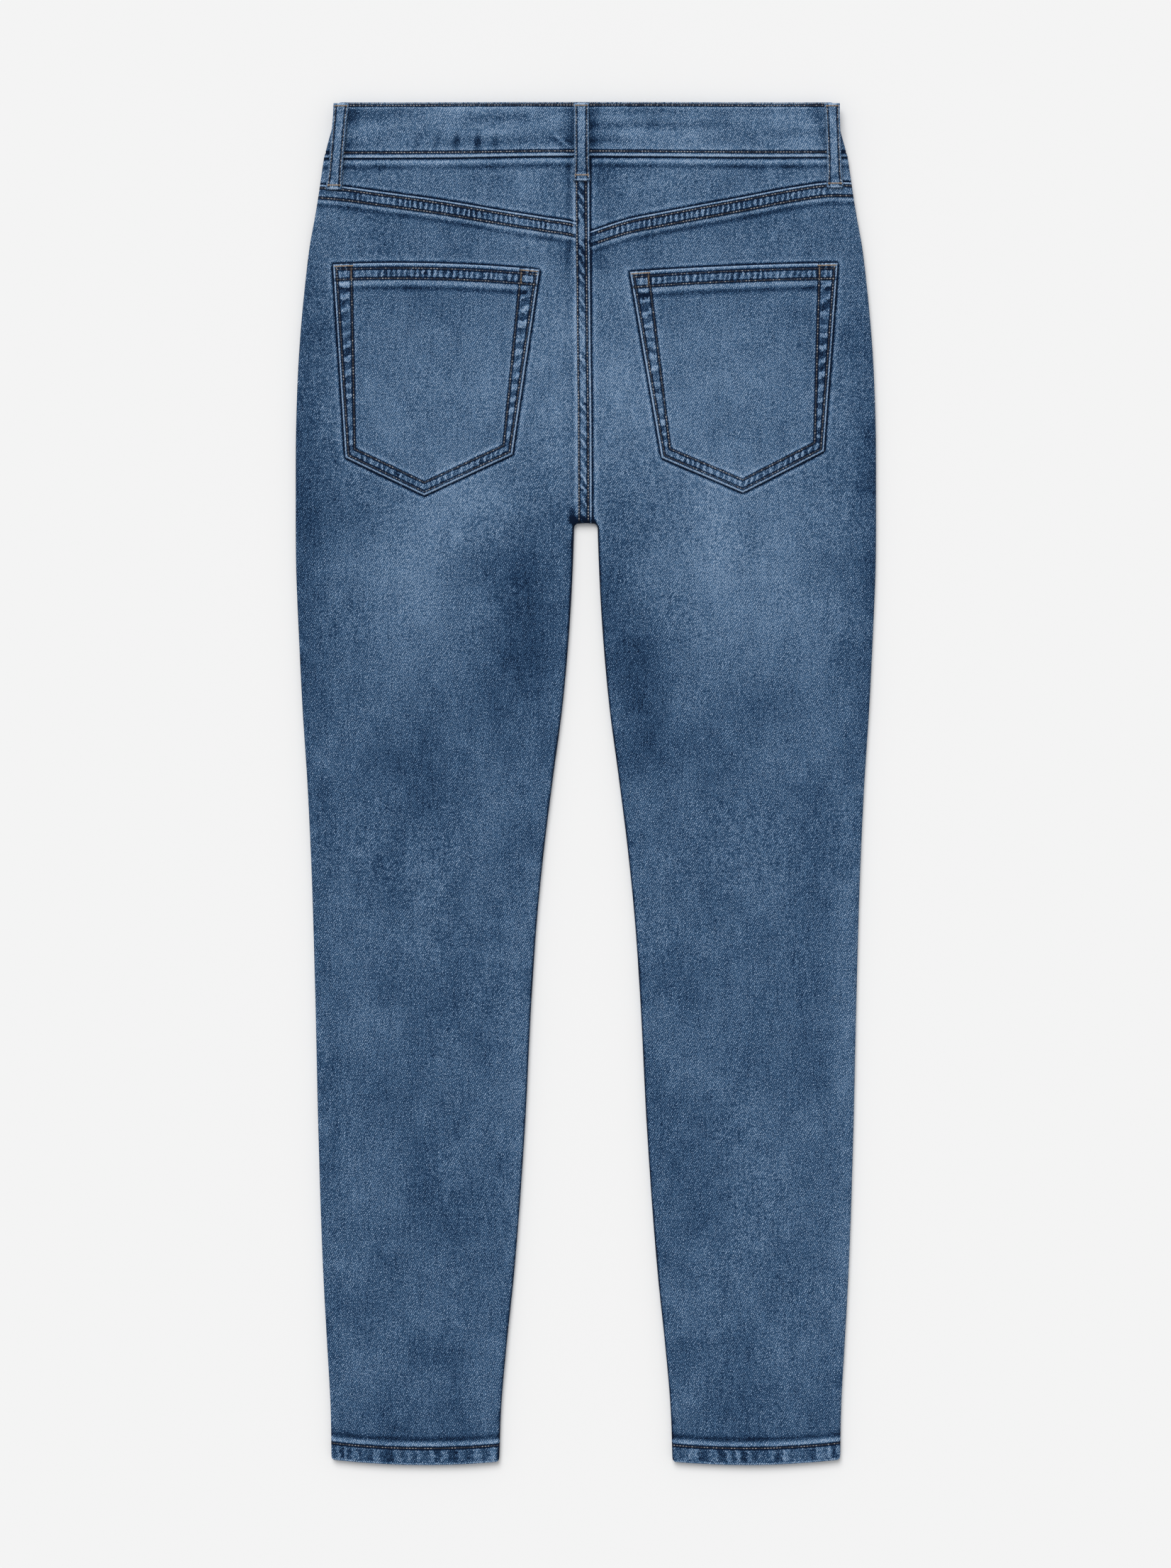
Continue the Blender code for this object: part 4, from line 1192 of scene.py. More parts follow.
def yoke(word, side):
    rows = []
    even = np.linspace(0, 1, YOKE_LINES)
    for share in 0.45 * smooth(even) + 0.55 * even:

        def drop_at(out):
            top = waist_low(side * out) - YOKE_UNDERLAP
            return top + share * (yoke_seam[side](out) + YOKE_UNDERLAP - top)

        edge = WAISTBAND_LOW_HALF
        for _ in range(4):
            edge = float(outseam(drop_at(edge)))
        x = side * columns(CENTRE_COLUMNS[side], edge, 2 * FIELD_STEPS)
        drop = drop_at(np.abs(x))
        relief = yoke_relief(x, drop, side)
        rows.append(woven(x, drop, relief, DENIM + relief.height))
    return cloth("yoke_" + word, rows, ["back_yoke_" + word])


for word, side in SIDES.items():
    yoke(word, side)

# %% [markdown]
# ## Centre back seam
#
# The left half laps over the right one, in the same kind of seam, from the waistband to
# the crotch. It is sewn after the yokes are on, so it rides over their seam. It is made
# as its own narrow strip, fine enough for its ropes, and its inner edge dives into the
# groove of its second row of stitches.

# %% The lapped strip
STRIP_TOP = WAISTBAND_DEPTH - 1.6
STRIP_OFFSETS = np.concatenate([[0.0, 0.15, 0.4, 0.8], np.arange(1.4, 9.9, 0.7), [10.1, 10.5]])
CROSSING_RISE = 0.55  # how far the yoke seam below lifts the strip


def strip_relief(x, drop):
    """Relief of the centre seam over the panels, plain where it crosses the yoke seam."""
    offset = centre_fold(drop) - x
    crossing = drop - yoke_seam[-1](4.0)
    over = smooth((crossing + 2.0) / 2.5) * (1.0 - smooth((crossing - YOKE.band + 1.0) / 2.5))
    calm = bell(drop - 172.0, 8.0) + bell(drop - 207.0, 8.0)
    found = lapped(offset, drop, CENTRE, 50, 1.0 - 0.75 * over - 0.7 * calm)
    plunge = 0.9 * smooth((offset - CENTRE.far) / 1.0)
    fade = found.fade + 0.16 * over * bell(offset - 5.5, 3.5) + gap_shadow_and_ridge(x, drop)
    fade += 0.10 * calm * bell(offset - 5.5, 3.0)
    return found._replace(height=found.height + CROSSING_RISE * over - plunge, fade=fade)


def strip_surface(x, drop):
    return cloth_points(x, drop, strip_relief(x, drop).height)[0][..., 2]


strip_ends = CROTCH_DROP - ROLL_OFFSETS[::-1]
strip_rows = []
for line in np.concatenate([spaced(STRIP_TOP, strip_ends[0], 0.85), strip_ends]):
    x = centre_fold(line) - STRIP_OFFSETS
    drop = np.full(len(x), line)
    strip_rows.append(woven(x, drop, strip_relief(x, drop), folded_edge(STRIP_OFFSETS)))
strip_nodes = ["back_leg_left", "back_yoke_left"]
cloth("centre_back_seam", strip_rows, strip_nodes)

# %% [markdown]
# ## Back pockets
#
# The pocket lies on the leg. Turned-under edges make it thicker as far as the second row,
# and the hem makes it thicker along the top. Between the rows the cloth has drawn up: in
# broad blocks down the sides, and in short slanting ropes along the low edges and the hem.


# %% Relief of a pocket
def pocket_relief(x, drop, side):
    """Relief of a pocket over the leg's face."""
    top, flank, low, second = pocket_depths(x, drop, side)
    edge = np.minimum(flank, low)
    seed = 60 + 8 * side
    out_of_row = smooth((edge - POCKET_ROW - 0.5) / 0.8)
    band = out_of_row * (1.0 - smooth((second + 1.6) / 0.8))
    first_row, hem_row = POCKET_HEM_ROWS
    header = smooth((top - first_row - 0.5) / 0.8) * (1.0 - smooth((top - hem_row + 1.3) / 0.8))
    header = header * out_of_row
    box = band * header
    slanting = (low < flank) | (top < 13.0)
    blocks = (drop + 0.2 * x + 3.0 * rumple(x, drop, 14, 16, seed)) / 9.0
    slants = (x + 0.1 * drop + 1.8 * rumple(x, drop, 9, 30, seed + 1)) / 4.4
    turns = np.where(slanting, slants, blocks)
    clear = smooth(np.abs(flank - low) / 2.5) * smooth(np.abs(top - 13.0) / 1.5)
    strength = np.maximum(band * (1 - header) * clear, header * (1 - 0.5 * box))
    strength = strength * uneven(x + drop, x - drop, seed + 2)
    patch = rumple(x, drop, 11, 11, seed + 3)
    away = smooth((second - 2.0) / 6.0) * smooth((top - 17.0) / 6.0)
    grooves = bell(edge - POCKET_ROW, GROOVE) + bell(second, GROOVE)
    grooves = np.minimum(grooves + sum(bell(top - row, GROOVE) for row in POCKET_HEM_ROWS), 1.0)
    turned = TURNED * (1.0 - smooth((second - 0.1) / 1.0))
    hem = 1.6 * TURNED * (1.0 - smooth((top - 12.6) / 1.2))
    height = 1.25 * folded_edge(np.minimum(edge, top)) + np.maximum(turned, hem) - 0.34 * grooves
    height += 0.22 * strength * np.cos(2.0 * math.pi * turns)
    height += away * (0.35 + 0.18 * rumple(x, drop, 17, 22, seed + 4))
    fade = 0.06 * patch * np.maximum(band, header) + 0.08 * box
    fade += 0.17 * (1 + 0.5 * patch) * bell(second - 2.2, 1.5) * (low < flank) * (top > 14)
    fade += 0.06 * bell(second - 2.2, 1.5) * (low >= flank) * (top > 14)
    fade += 0.25 * (1 + 0.3 * patch) * bell(top - 14.6, 1.5) * (edge > 3)
    fade -= 0.24 * (1 - 0.3 * patch) * bell(top - 18.3, 2.1) * (edge > 3)
    fade += away * (0.06 * bell(drop - 208, 24) - 0.03 * bell(drop - 155, 26))
    return plain(x)._replace(
        height=height,
        fade=fade,
        edge=np.minimum(np.minimum(edge, top), FAR),
        row=np.minimum(np.minimum(edge - POCKET_ROW, top - first_row), FAR),
        inner_row=np.minimum(second, FAR),
        hem_row=np.clip(top - hem_row, -FAR, FAR),
        rope=strength,
        along=turns,
    )


def pocket_surface(x, drop, side):
    return lay(x, drop) + pocket_relief(x, drop, side).height


# %% Both pockets
def graded(length, pitch):
    """Places from 0 to length, close together at both ends."""
    ends = np.array([0.0, 0.2, 0.5, 0.95])
    inside = spaced(1.6, length - 1.6, pitch)
    return np.concatenate([ends, inside, [length - 1.6], length - ends[::-1]])


def back_pocket(word, side):
    top_in, low_in, tip, low_out, top_out = CUTS[side].points
    depth = (low_in[1] + low_out[1] - top_in[1] - top_out[1]) / 2.0
    width = top_out[0] - top_in[0]
    tip_at = (tip[0] - low_in[0]) / (low_out[0] - low_in[0])
    across = np.sort(np.append(graded(width, POCKET_PITCH) / width, tip_at))
    near = across < tip_at
    to_tip = np.where(near, across / tip_at, (1 - across) / (1 - tip_at))
    side_low = np.where(near, low_in[1], low_out[1])
    rows = []
    for share in graded(depth, POCKET_PITCH) / depth:
        start = top_in[0] + share * (low_in[0] - top_in[0])
        end = top_out[0] + share * (low_out[0] - top_out[0])
        x = side * (start + across * (end - start))
        top = pocket_top(side, top_in[0] + across * width)
        drop = top + share * (side_low + to_tip * (tip[1] - side_low) - top)
        relief = pocket_relief(x, drop, side)
        base = lay(x, drop)
        outer = np.stack([x, drop, base + relief.height], axis=-1)
        inner = np.stack([x, drop, base + 0.03], axis=-1)
        rows.append(Row(outer, inner, relief._replace(fade=relief.fade + wash_and_shade(x, drop))))
    name = "pocket_" + word
    return cloth(name, rows, ["back_pocket_" + word])


for word, side in SIDES.items():
    back_pocket(word, side)

# %% [markdown]
# ## Waistband
#
# The waistband is a straight strip folded in two and pressed flat by the way the jeans
# lie, so its route is a flattened ring that is open at the centre front, where one end
# laps over the other. The route gives the middle of the band, and its two faces are half
# a thickness to either side. A row of stitches runs along each edge.

# %% The band's route and its relief
WAIST_TOP = -0.9  # the band's top edge stands a little above its nominal line
TOP_ROW, LOW_ROW = 1.4, 3.7  # drop of the upper row, and the lower row's height
WAIST_PITCH, FRONT_PITCH = 1.25, 3.5
MIDDLE_HALF = (WAISTBAND_TOP_HALF + WAISTBAND_LOW_HALF) / 2.0


def waistband_face(x):
    return LEG_HEIGHT + WAIST_RISE + WAIST_PROUD + (CROWN_RISE + 0.35) * crown(x)


def waistband_route():
    """The band's middle line as (x, z, front), from its buttonhole end to the end below."""
    low = WAISTBAND_UNDER + WAISTBAND_THICK / 2.0
    high_side = float(waistband_face(WAISTBAND_LOW_HALF)) - WAISTBAND_THICK / 2.0
    bend = (high_side - low) / 2.0
    half = MIDDLE_HALF - WAISTBAND_THICK / 2.0 - bend
    under = low + WAISTBAND_THICK + 0.3
    turns = np.radians(np.linspace(15.0, 165.0, 11))
    to_side = np.linspace(BUTTON_END, -half, round((half + 16) / FRONT_PITCH))
    route = [(x, low, 1.0) for x in to_side]
    for turn in turns:
        z = low + bend * (1.0 - math.cos(turn))
        route.append((-half - bend * math.sin(turn), z, (1.0 + math.cos(turn)) / 2.0))
    for x in np.linspace(-half, half, round(2 * half / WAIST_PITCH)):
        route.append((x, float(waistband_face(x)) - WAISTBAND_THICK / 2.0, 0.0))
    for turn in turns:
        z = high_side - bend * (1.0 - math.cos(turn))
        route.append((half + bend * math.sin(turn), z, (1.0 - math.cos(turn)) / 2.0))
    route += [(x, low, 1.0) for x in np.linspace(half, 52.0, round(half / FRONT_PITCH))]
    for share in np.linspace(0.1, 1.0, 10):
        route.append((52.0 - 26.0 * share, low + (under - low) * float(smooth(share)), 1.0))
    route += [(x, under, 1.0) for x in np.linspace(20.0, -UNDER_END, 13)]
    return np.array(route)


def band_drop(x, depth, back=1.0):
    """Drop of a place on the band, whose lower edge waves a little on the back."""
    return depth + back * (waist_low(x) - WAISTBAND_DEPTH) * (depth / WAISTBAND_DEPTH) ** 2


def waistband_relief(x, depth, front):
    """Relief of the band's outer face, by place and by depth below its top edge."""
    back = 1.0 - front
    above_low = WAISTBAND_DEPTH - depth
    pinch = np.cos(2 * math.pi * (x + 93.0 + 1.5 * rumple(x, 0 * x, 20, 40, 70)) / 14.5)
    left = smooth((x + 138.0) / 14.0) * (1.0 - smooth((x + 66.0) / 10.0))
    left = left * np.clip(0.85 + 0.4 * rumple(x, 0 * x, 11, 60, 74), 0.6, 1.1)
    elsewhere = 0.35 * np.clip(rumple(x, depth, 30, 60, 73), 0.0, 1.0)
    reach = smooth((depth - 17.0) / 9.0) * (1.0 - smooth((depth - 34.0) / 2.0))
    pucker = smooth((pinch - 0.15) / 0.8) * reach * np.maximum(left, elsewhere) * back
    waves = rumple(x + 1.2 * depth, depth, 48, 5.5, 71) * (1.0 - smooth((depth - 30.0) / 5.0))
    patch = rumple(x, depth, 17, 11, 72)
    drag = depth - 22.0 - 0.88 * (x + 24.0)
    pull = bell(x + 19.0, 7.0) * back
    # Painted shadow beside each back loop.
    shade = sum(bell(np.maximum(np.abs(x - place) - 6.0, 0.0), 7.0) for place in (-181, -3, 181))
    grooves = bell(depth - TOP_ROW, GROOVE) + bell(above_low - LOW_ROW, GROOVE)
    height = 0.2 * waves - 0.28 * pucker + 0.10 * patch - 0.36 * grooves + 0.15 * pull * bell(drag, 1.5)
    # Painted light and shade: darker in the puckers' hollows and beside the loops, light and dark with
    # the soft waves, light on the drag crease and shaded beside it, and a shaded patch between that
    # crease and the centre loop.
    fade = 0.04 + 0.13 * waves - 0.21 * pucker + 0.045 * patch - 0.19 * shade * back
    fade += pull * (0.28 * bell(drag, 1.1) - 0.16 * bell(drag - 4.5, 3.0))
    fade -= back * (0.1 * bell(x + 14.0, 6.0) * bell(depth - 31.0, 5.0) + 0.05 * bell(depth - 10.0, 7.0))
    fade += 0.12 * bell(above_low - 1.7, 0.8) + 0.11 * bell(above_low - 6.2, 1.4)
    fade += 0.17 * bell(depth - 3.4, 0.9)
    nearest = np.minimum(depth - WAIST_TOP, above_low)
    return plain(x)._replace(
        height=height,
        fade=fade,
        edge=np.minimum(nearest, FAR) + 0.0 * x,
        row=np.clip(depth - TOP_ROW, -FAR, FAR) + 0.0 * x,
        inner_row=np.minimum(above_low - LOW_ROW, FAR) + 0.0 * x,
    )


# %% The waistband
def band_half(depth):
    """Half the band's width at a depth."""
    wider = WAISTBAND_LOW_HALF - WAISTBAND_TOP_HALF
    return WAISTBAND_TOP_HALF + wider * depth / WAISTBAND_DEPTH


def waistband():
    route = waistband_route()
    along = np.gradient(route[:, :2], axis=0)
    along /= np.hypot(along[:, 0], along[:, 1])[:, None]
    normal = np.stack([-along[:, 1], along[:, 0]], axis=-1)
    front = route[:, 2]
    ends = np.array([0.0, 0.18, 0.5, 0.9, 1.4])
    middle = np.concatenate([[1.4, 2.3], spaced(3.2, 32.0, 1.4), spaced(32.0, 37.5, 0.9), [37.5]])
    rows = []
    for depth in np.concatenate([WAIST_TOP + ends, middle, WAISTBAND_DEPTH - ends[::-1]]):
        near = min(depth - WAIST_TOP, WAISTBAND_DEPTH - depth)
        turned = 0.55 * (1.0 - math.sqrt(1.0 - (1.0 - min(near / FOLD_ROUND, 1.0)) ** 2))
        relief = waistband_relief(route[:, 0], depth, front)
        layers = []
        for face in (1.0, -1.0):
            wave = relief.height if face > 0 else 0.0 * relief.height
            aside = face * (WAISTBAND_THICK / 2.0 - turned) + wave
            place = route[:, :2] + aside[:, None] * normal
            x = place[:, 0] * band_half(depth) / MIDDLE_HALF
            dip = FRONT_DIP * front * (1.0 - np.minimum(np.abs(x) / band_half(depth), 1.0) ** 2)
            drop = band_drop(x, depth, 1.0 - front) + dip
            layers.append(np.stack([x, drop, place[:, 1]], axis=-1))
        marks = relief._replace(fade=wash_and_shade(route[:, 0], depth + 0.0 * front) + relief.fade)
        rows.append(Row(layers[0], layers[1], marks))
    return cloth("waistband_band", rows, ["waistband"])


waistband()

# %% [markdown]
# ## Belt loops
#
# A loop is a strip folded in three and sewn along both sides, then bent under at each end
# and held by a bartack. It stands off the waistband and bows a little, which is what
# throws its shadow. Its edges are among the most rubbed places on a pair of jeans.

# %% Back loops
LOOP_THICK = 1.4
LOOP_END = 0.6
LOOP_STAND = 1.9
LOOP_ROW = 1.5  # from a loop's side to its row of stitches
LOOP_PITCH = 0.8
LOOP_SEED = 80  # the first loop's; each has its own ripples
Loop = namedtuple("Loop", "name node top_x low_x length top_width mid_width low_width tack")
BACK_LOOPS = [
    Loop("loop_left", "belt_loop_back_left", -179.4, -185.0, 63.6, 11.4, 10.4, 11.7, 3.2),
    Loop("loop_center", "belt_loop_back_center", -3.3, -3.0, 57.3, 11.3, 11.0, 12.7, 4.2),
    Loop("loop_right", "belt_loop_back_right", 180.7, 182.8, 62.2, 11.3, 10.5, 12.2, 3.2),
]


def loop_width(loop, part):
    width = loop.mid_width + (loop.top_width - loop.mid_width) * (1.0 - smooth(part / 0.2))
    return width + (loop.low_width - loop.mid_width) * smooth((part - 0.75) / 0.25)


def loop_under(loop, part):
    """Height of a loop's underside along its length."""
    start = float(waistband_face(loop.top_x)) + 0.3
    end = float(lay(loop.low_x, loop.length)) + BAND_RAISE + 0.3
    stand = LOOP_STAND * smooth((part - 0.07) / 0.15) * (1.0 - smooth((part - 0.6) / 0.33))
    return start + (end - start) * smooth((part - 0.55) / 0.38) + stand


def loop_relief(loop, part, across, seed):
    """Relief of a loop's face. across goes from -1 to 1."""
    width = loop_width(loop, part)
    edge = (1.0 - np.abs(across)) * width / 2.0
    end = np.minimum(part, 1.0 - part) * loop.length
    folded = LOOP_END * (1.0 - smooth((part - 0.07) / 0.06) + smooth((part - 0.87) / 0.06))
    groove = bell(edge - LOOP_ROW, 0.55)
    ripple = rumple(across * width, part * loop.length, 4.0, 3.2, seed)
    near = np.minimum(edge, end)
    return plain(part)._replace(
        height=LOOP_THICK * folded_edge(near) + folded - 0.3 * groove + 0.1 * ripple,
        fade=0.15 + 0.07 * ripple - 0.12 * bell(end - 7.5, 1.5),
        edge=near,
        row=edge - LOOP_ROW,
    )


def loop_surface(loop, part, across, seed):
    return loop_under(loop, part) + loop_relief(loop, part, across, seed).height


def loop_place(loop, part, across):
    """x and drop of a place on a loop."""
    x = loop.top_x + (loop.low_x - loop.top_x) * part + across * loop_width(loop, part) / 2.0
    return x, part * loop.length + 0.0 * across


def back_loop(loop, seed):
    across = graded(loop.mid_width, LOOP_PITCH) / loop.mid_width * 2.0 - 1.0
    rows = []
    for part in graded(loop.length, LOOP_PITCH) / loop.length:
        part = np.full(len(across), part)
        x, drop = loop_place(loop, part, across)
        under = loop_under(loop, part)
        relief = loop_relief(loop, part, across, seed)
        outer = np.stack([x, drop, under + relief.height], axis=-1)
        inner = np.stack([x, drop, under], axis=-1)
        rows.append(Row(outer, inner, relief._replace(fade=relief.fade + wash_and_shade(x, drop))))
    return cloth(loop.name, rows, [loop.node], denim_worn)


for number, loop in enumerate(BACK_LOOPS):
    back_loop(loop, LOOP_SEED + number)

# %% [markdown]
# ## Fronts
#
# The fronts lie on the ground and the photograph doesn't show them, so they are finished
# plainly: a curved pocket mouth with the denim bearer inside it, a hem, and a closed fly
# with its row of stitches. Their soft rumples only rise from the ground.

# %% Front panels
SCOOP_ROWS = (2.5, 8.5)
FRONT_STEPS = 40
SCOOP_TURNS = np.linspace(0.0, 90.0, 31)


def front_top(out):
    """Drop of the front waistband's lower edge."""
    return WAISTBAND_DEPTH + FRONT_DIP * (1.0 - (out / WAISTBAND_LOW_HALF) ** 2)


def scoop(turn):
    """A point (out, drop) on the pocket's mouth: turn 0 at the waistband, 90 at the side."""
    drop = SCOOP_TOP + SCOOP_DEPTH * math.sin(math.radians(turn))
    side = float(outseam(SCOOP_TOP + SCOOP_DEPTH))
    return side - SCOOP_WIDTH * math.cos(math.radians(turn)), drop


def front_relief(x, drop, side):
    """The front's hem and pocket mouth. Only the grooves are in relief."""
    hem = hem_band(x, drop, 36 + side)
    aside = (float(outseam(SCOOP_TOP + SCOOP_DEPTH)) - side * x) / SCOOP_WIDTH
    reach = np.hypot(aside, np.maximum(drop - SCOOP_TOP, 0.0) / SCOOP_DEPTH)
    from_mouth = (reach - 1.0) * 0.5 * (SCOOP_WIDTH + SCOOP_DEPTH)
    from_mouth = np.where(drop < 130.0, np.clip(from_mouth, 0.0, FAR), FAR)
    grooves = sum(bell(from_mouth - row, 0.9) for row in SCOOP_ROWS)
    # The grooves are painted darker as their shade.
    return hem._replace(
        height=-0.12 * grooves,
        fade=hem.fade - 0.15 * grooves,
        edge=np.minimum(hem.edge, from_mouth),
    )


def front_leg(word, side):
    centre = np.array([0.15, 2.0, 4.0, 6.0, 7.3, 8.6])
    start_out, _ = scoop(0.0)
    start, end = float(front_top(0.0)) + 0.3, SCOOP_TOP + SCOOP_DEPTH
    lines = []
    for number, turn in enumerate(SCOOP_TURNS):
        share = number / (len(SCOOP_TURNS) - 1)
        outer_edge, outer_drop = scoop(turn)
        if number == 0:
            outer_drop = float(front_top(start_out)) + 0.3
        lines.append((centre, start + share * (end + 12.0 - start), outer_edge, outer_drop, end))
    over = CROTCH_DROP - ROLL_OFFSETS[::-1]
    hem = spaced(LENGTH - 20.0, LENGTH - 1.0, 1.5)
    thigh = spaced(end + 16.0, over[0], 4.5)
    shin = spaced(GAP_CORNER[-1] + 2.0, hem[0], 4.5)
    last = LENGTH - np.array([0.8, 0.3, 0.0])
    for level in np.concatenate([thigh, over, GAP_CORNER, shin, hem, last]):
        inner = centre if level <= CROTCH_DROP else float(gap_edge(level)) + ROLL_OFFSETS
        outer_drop = level - 12.0 * (1.0 - smooth((level - end) / (CROTCH_DROP - ROLL - end)))
        lines.append((inner, level, float(outseam(outer_drop)), outer_drop, level))
    rows = []
    for inner, inner_drop, edge, outer_drop, level in lines:
        out = columns(inner, edge, FRONT_STEPS, FRONT_STEPS)
        drop = inner_drop + (outer_drop - inner_drop) * (out / edge) ** 2
        x = side * out
        drop = bend_to_hem(drop, x, level)
        rows.append(woven(x, drop, front_relief(x, drop, side), DENIM, -1))
    return cloth("front_" + word, rows, ["front_leg_" + word])


def pocket_bearer(word, side):
    rows = []
    turns = SCOOP_TURNS[:-2]
    for number, turn in enumerate(turns):
        share = number / (len(turns) - 1)
        inner_edge, inner_drop = scoop(turn)
        across = math.cos(math.radians(turn))
        inner_edge, inner_drop = inner_edge + 0.45 * across, inner_drop - 0.45 * (1.0 - across)
        top = WAISTBAND_DEPTH + 0.3
        outer_drop = top + share * (inner_drop - top)
        edge = float(outseam(outer_drop))
        roll = edge - ROLL_OFFSETS[::-1]
        out = np.concatenate([np.linspace(inner_edge, roll[0], 16)[:-1], roll])
        if number == 0:
            drop = front_top(out) + 0.3
        else:
            part = (out - inner_edge) / (edge - inner_edge)
            drop = inner_drop + (outer_drop - inner_drop) * part
        marks = plain(out)._replace(fade=np.full(len(out), -0.12))
        rows.append(woven(side * out, drop, marks, DENIM, -1))
    return cloth("pocket_bearer_" + word, rows, ["front_pocket_bearer_" + word])


for word, side in SIDES.items():
    front_leg(word, side)
    pocket_bearer(word, side)

# %% Front loops
FRONT_LOOP_X = 95.0
FRONT_LOOP_LENGTH = 62.0
FRONT_LOOP_WIDTH = 10.4


def front_loop(word, side):
    top = float(front_top(FRONT_LOOP_X)) - WAISTBAND_DEPTH
    across = graded(FRONT_LOOP_WIDTH, 1.2)
    edge = np.minimum(across, FRONT_LOOP_WIDTH - across)
    groove = bell(edge - LOOP_ROW, 0.6)
    x = side * FRONT_LOOP_X + across - FRONT_LOOP_WIDTH / 2.0
    rows = []
    for along in graded(FRONT_LOOP_LENGTH, 1.6):
        near = np.minimum(edge, min(along, FRONT_LOOP_LENGTH - along))
        low = LOOP_THICK * (1.0 - folded_edge(near)) + 0.2 * groove
        drop = np.full(len(x), top + along)
        outer = np.stack([x, drop, low], axis=-1)
        inner = np.stack([x, drop, np.full(len(x), LOOP_THICK)], axis=-1)
        marks = plain(x)._replace(fade=0.0 * x + 0.6, edge=near, row=edge - LOOP_ROW)
        rows.append(Row(outer, inner, marks))
    nodes = ["belt_loop_front_" + word]
    return cloth("loop_front_" + word, rows, nodes, denim_worn)


for word, side in SIDES.items():
    front_loop(word, side)

# %% [markdown]
# ## Sewing
#
# One stitch is modelled by hand: a low ball, drawn out along the seam, with its ends
# pressed down where the thread goes back into the cloth. Every row is that stitch, copied
# along a path on the cloth's own surface and turned to follow it, then joined to one piece
# for each panel. Between two stitches the needle hole lies in shade, so on the back each
# stitch has a dark copy after it, a painted shadow.

# %% One stitch
STITCH_LENGTH, THREAD = 1.25, 0.72
STITCH_PITCH = 2.2

bpy.ops.object.select_all(action="DESELECT")
bpy.ops.mesh.primitive_uv_sphere_add(segments=6, ring_count=4, radius=0.5)
pattern = bpy.context.object
bpy.ops.object.mode_set(mode="EDIT")
bpy.ops.mesh.select_all(action="SELECT")
# The ball's poles become the stitch's ends.
bpy.ops.transform.rotate(value=math.radians(90), orient_axis="Y", center_override=(0, 0, 0))
bpy.ops.transform.resize(value=(STITCH_LENGTH, THREAD, THREAD * 0.8), center_override=(0, 0, 0))
bpy.ops.mesh.select_all(action="DESELECT")
bpy.ops.object.mode_set(mode="OBJECT")
for point in pattern.data.vertices:
    point.select = abs(point.co.x) > 0.4 * STITCH_LENGTH
bpy.ops.object.mode_set(mode="EDIT")
bpy.ops.mesh.select_mode(type="VERT")
bpy.ops.transform.translate(value=(0, 0, -0.25))
bpy.ops.object.mode_set(mode="OBJECT")
stitch_points = np.array([point.co for point in pattern.data.vertices])
stitch_faces = [list(polygon.vertices) for polygon in pattern.data.polygons]
bpy.data.objects.remove(pattern)
print("one stitch:", len(stitch_faces), "faces, spans", np.ptp(stitch_points, axis=0).round(2))


# %% Rows of stitches
def on_surface(path, surface, lift=0.12):
    """The path's (x, drop) points, close together, with the height of the cloth there."""
    path = np.array(path, float)
    reach = np.concatenate([[0.0], np.cumsum(np.hypot(*np.diff(path, axis=0).T))])
    at = np.linspace(0.0, reach[-1], max(int(reach[-1] / 0.5), 4))
    x, drop = (np.interp(at, reach, path[:, k]) for k in (0, 1))
    return np.stack([x, drop, surface(x, drop) + lift], axis=-1)


def stitches_along(path, pitch, rng, dark_share, worn_and_shaded):
    """Centres, directions and tones of the stitches of one row."""
    reach = np.concatenate([[0.0], np.cumsum(np.linalg.norm(np.diff(path, axis=0), axis=1))])
    count = max(int(reach[-1] / pitch), 1)
    at = (np.arange(count) + 0.5) * reach[-1] / count
    dark = rng.random(count) < dark_share
    tone = np.where(dark, rng.uniform(0.0, 0.25, count), rng.uniform(0.6, 1.0, count))
    # Each stitch gets a dark copy after it, a painted shadow in its needle hole.
    if worn_and_shaded:
        at = np.concatenate([at - pitch / 4.0, at + pitch / 4.0])
        tone = np.concatenate([tone, np.zeros(count)])
    half = 0.3 * pitch
    centre, back, ahead = (
        np.stack([np.interp(at + move, reach, path[:, k]) for k in range(3)], axis=-1)
        for move in (0.0, -half, half)
    )
    way = ahead - back
    return centre, way / np.linalg.norm(way, axis=1)[:, None], tone


def sewing(name, paths, finish=topstitch, pitch=STITCH_PITCH, dark_share=0.2, worn_and_shaded=True, up=1.0):
    """Copies the stitch along every path and joins the copies to one piece."""
    rng = np.random.default_rng(sum(map(ord, name)))
    found = [stitches_along(path, pitch, rng, dark_share, worn_and_shaded) for path in paths]
    centre, way, tone = (np.concatenate([row[k] for row in found]) for k in range(3))
    across = np.stack([-way[:, 1], way[:, 0], np.zeros(len(way))], axis=-1)
    across /= np.linalg.norm(across, axis=1)[:, None]
    shape = stitch_points
    if finish is bartack_thread:
        way, across = 0.2 * way + across, way - 0.2 * across
        shape = stitch_points * TACK_SHAPE
    over = np.cross(way, across)
    over *= np.sign(over[:, 2])[:, None] * up
    points = centre[:, None, :] + sum(
        shape[None, :, k, None] * axis[:, None, :] for k, axis in enumerate((way, across, over))
    )
    # A stitch on the ground is pressed flat against it.
    points[..., 2] = np.maximum(points[..., 2], 0.0)
    count, each = points.shape[:2]
    faces = [[i + k * each for i in face] for k in range(count) for face in stitch_faces]
    numbers = {"tone": np.repeat(tone, each)}
    made = closed_piece(name, to_world(points.reshape(-1, 3)), faces, finish, numbers)
    place_in_frame(made)
    print(f"{name}: {count} stitches")
    return made


# %% Leg, yoke and centre seams
def hem_path(x, surface, lift=0.12):
    return on_surface(np.stack([x, hem_bottom(x)[0] - HEM_ROW], axis=-1), surface, lift)


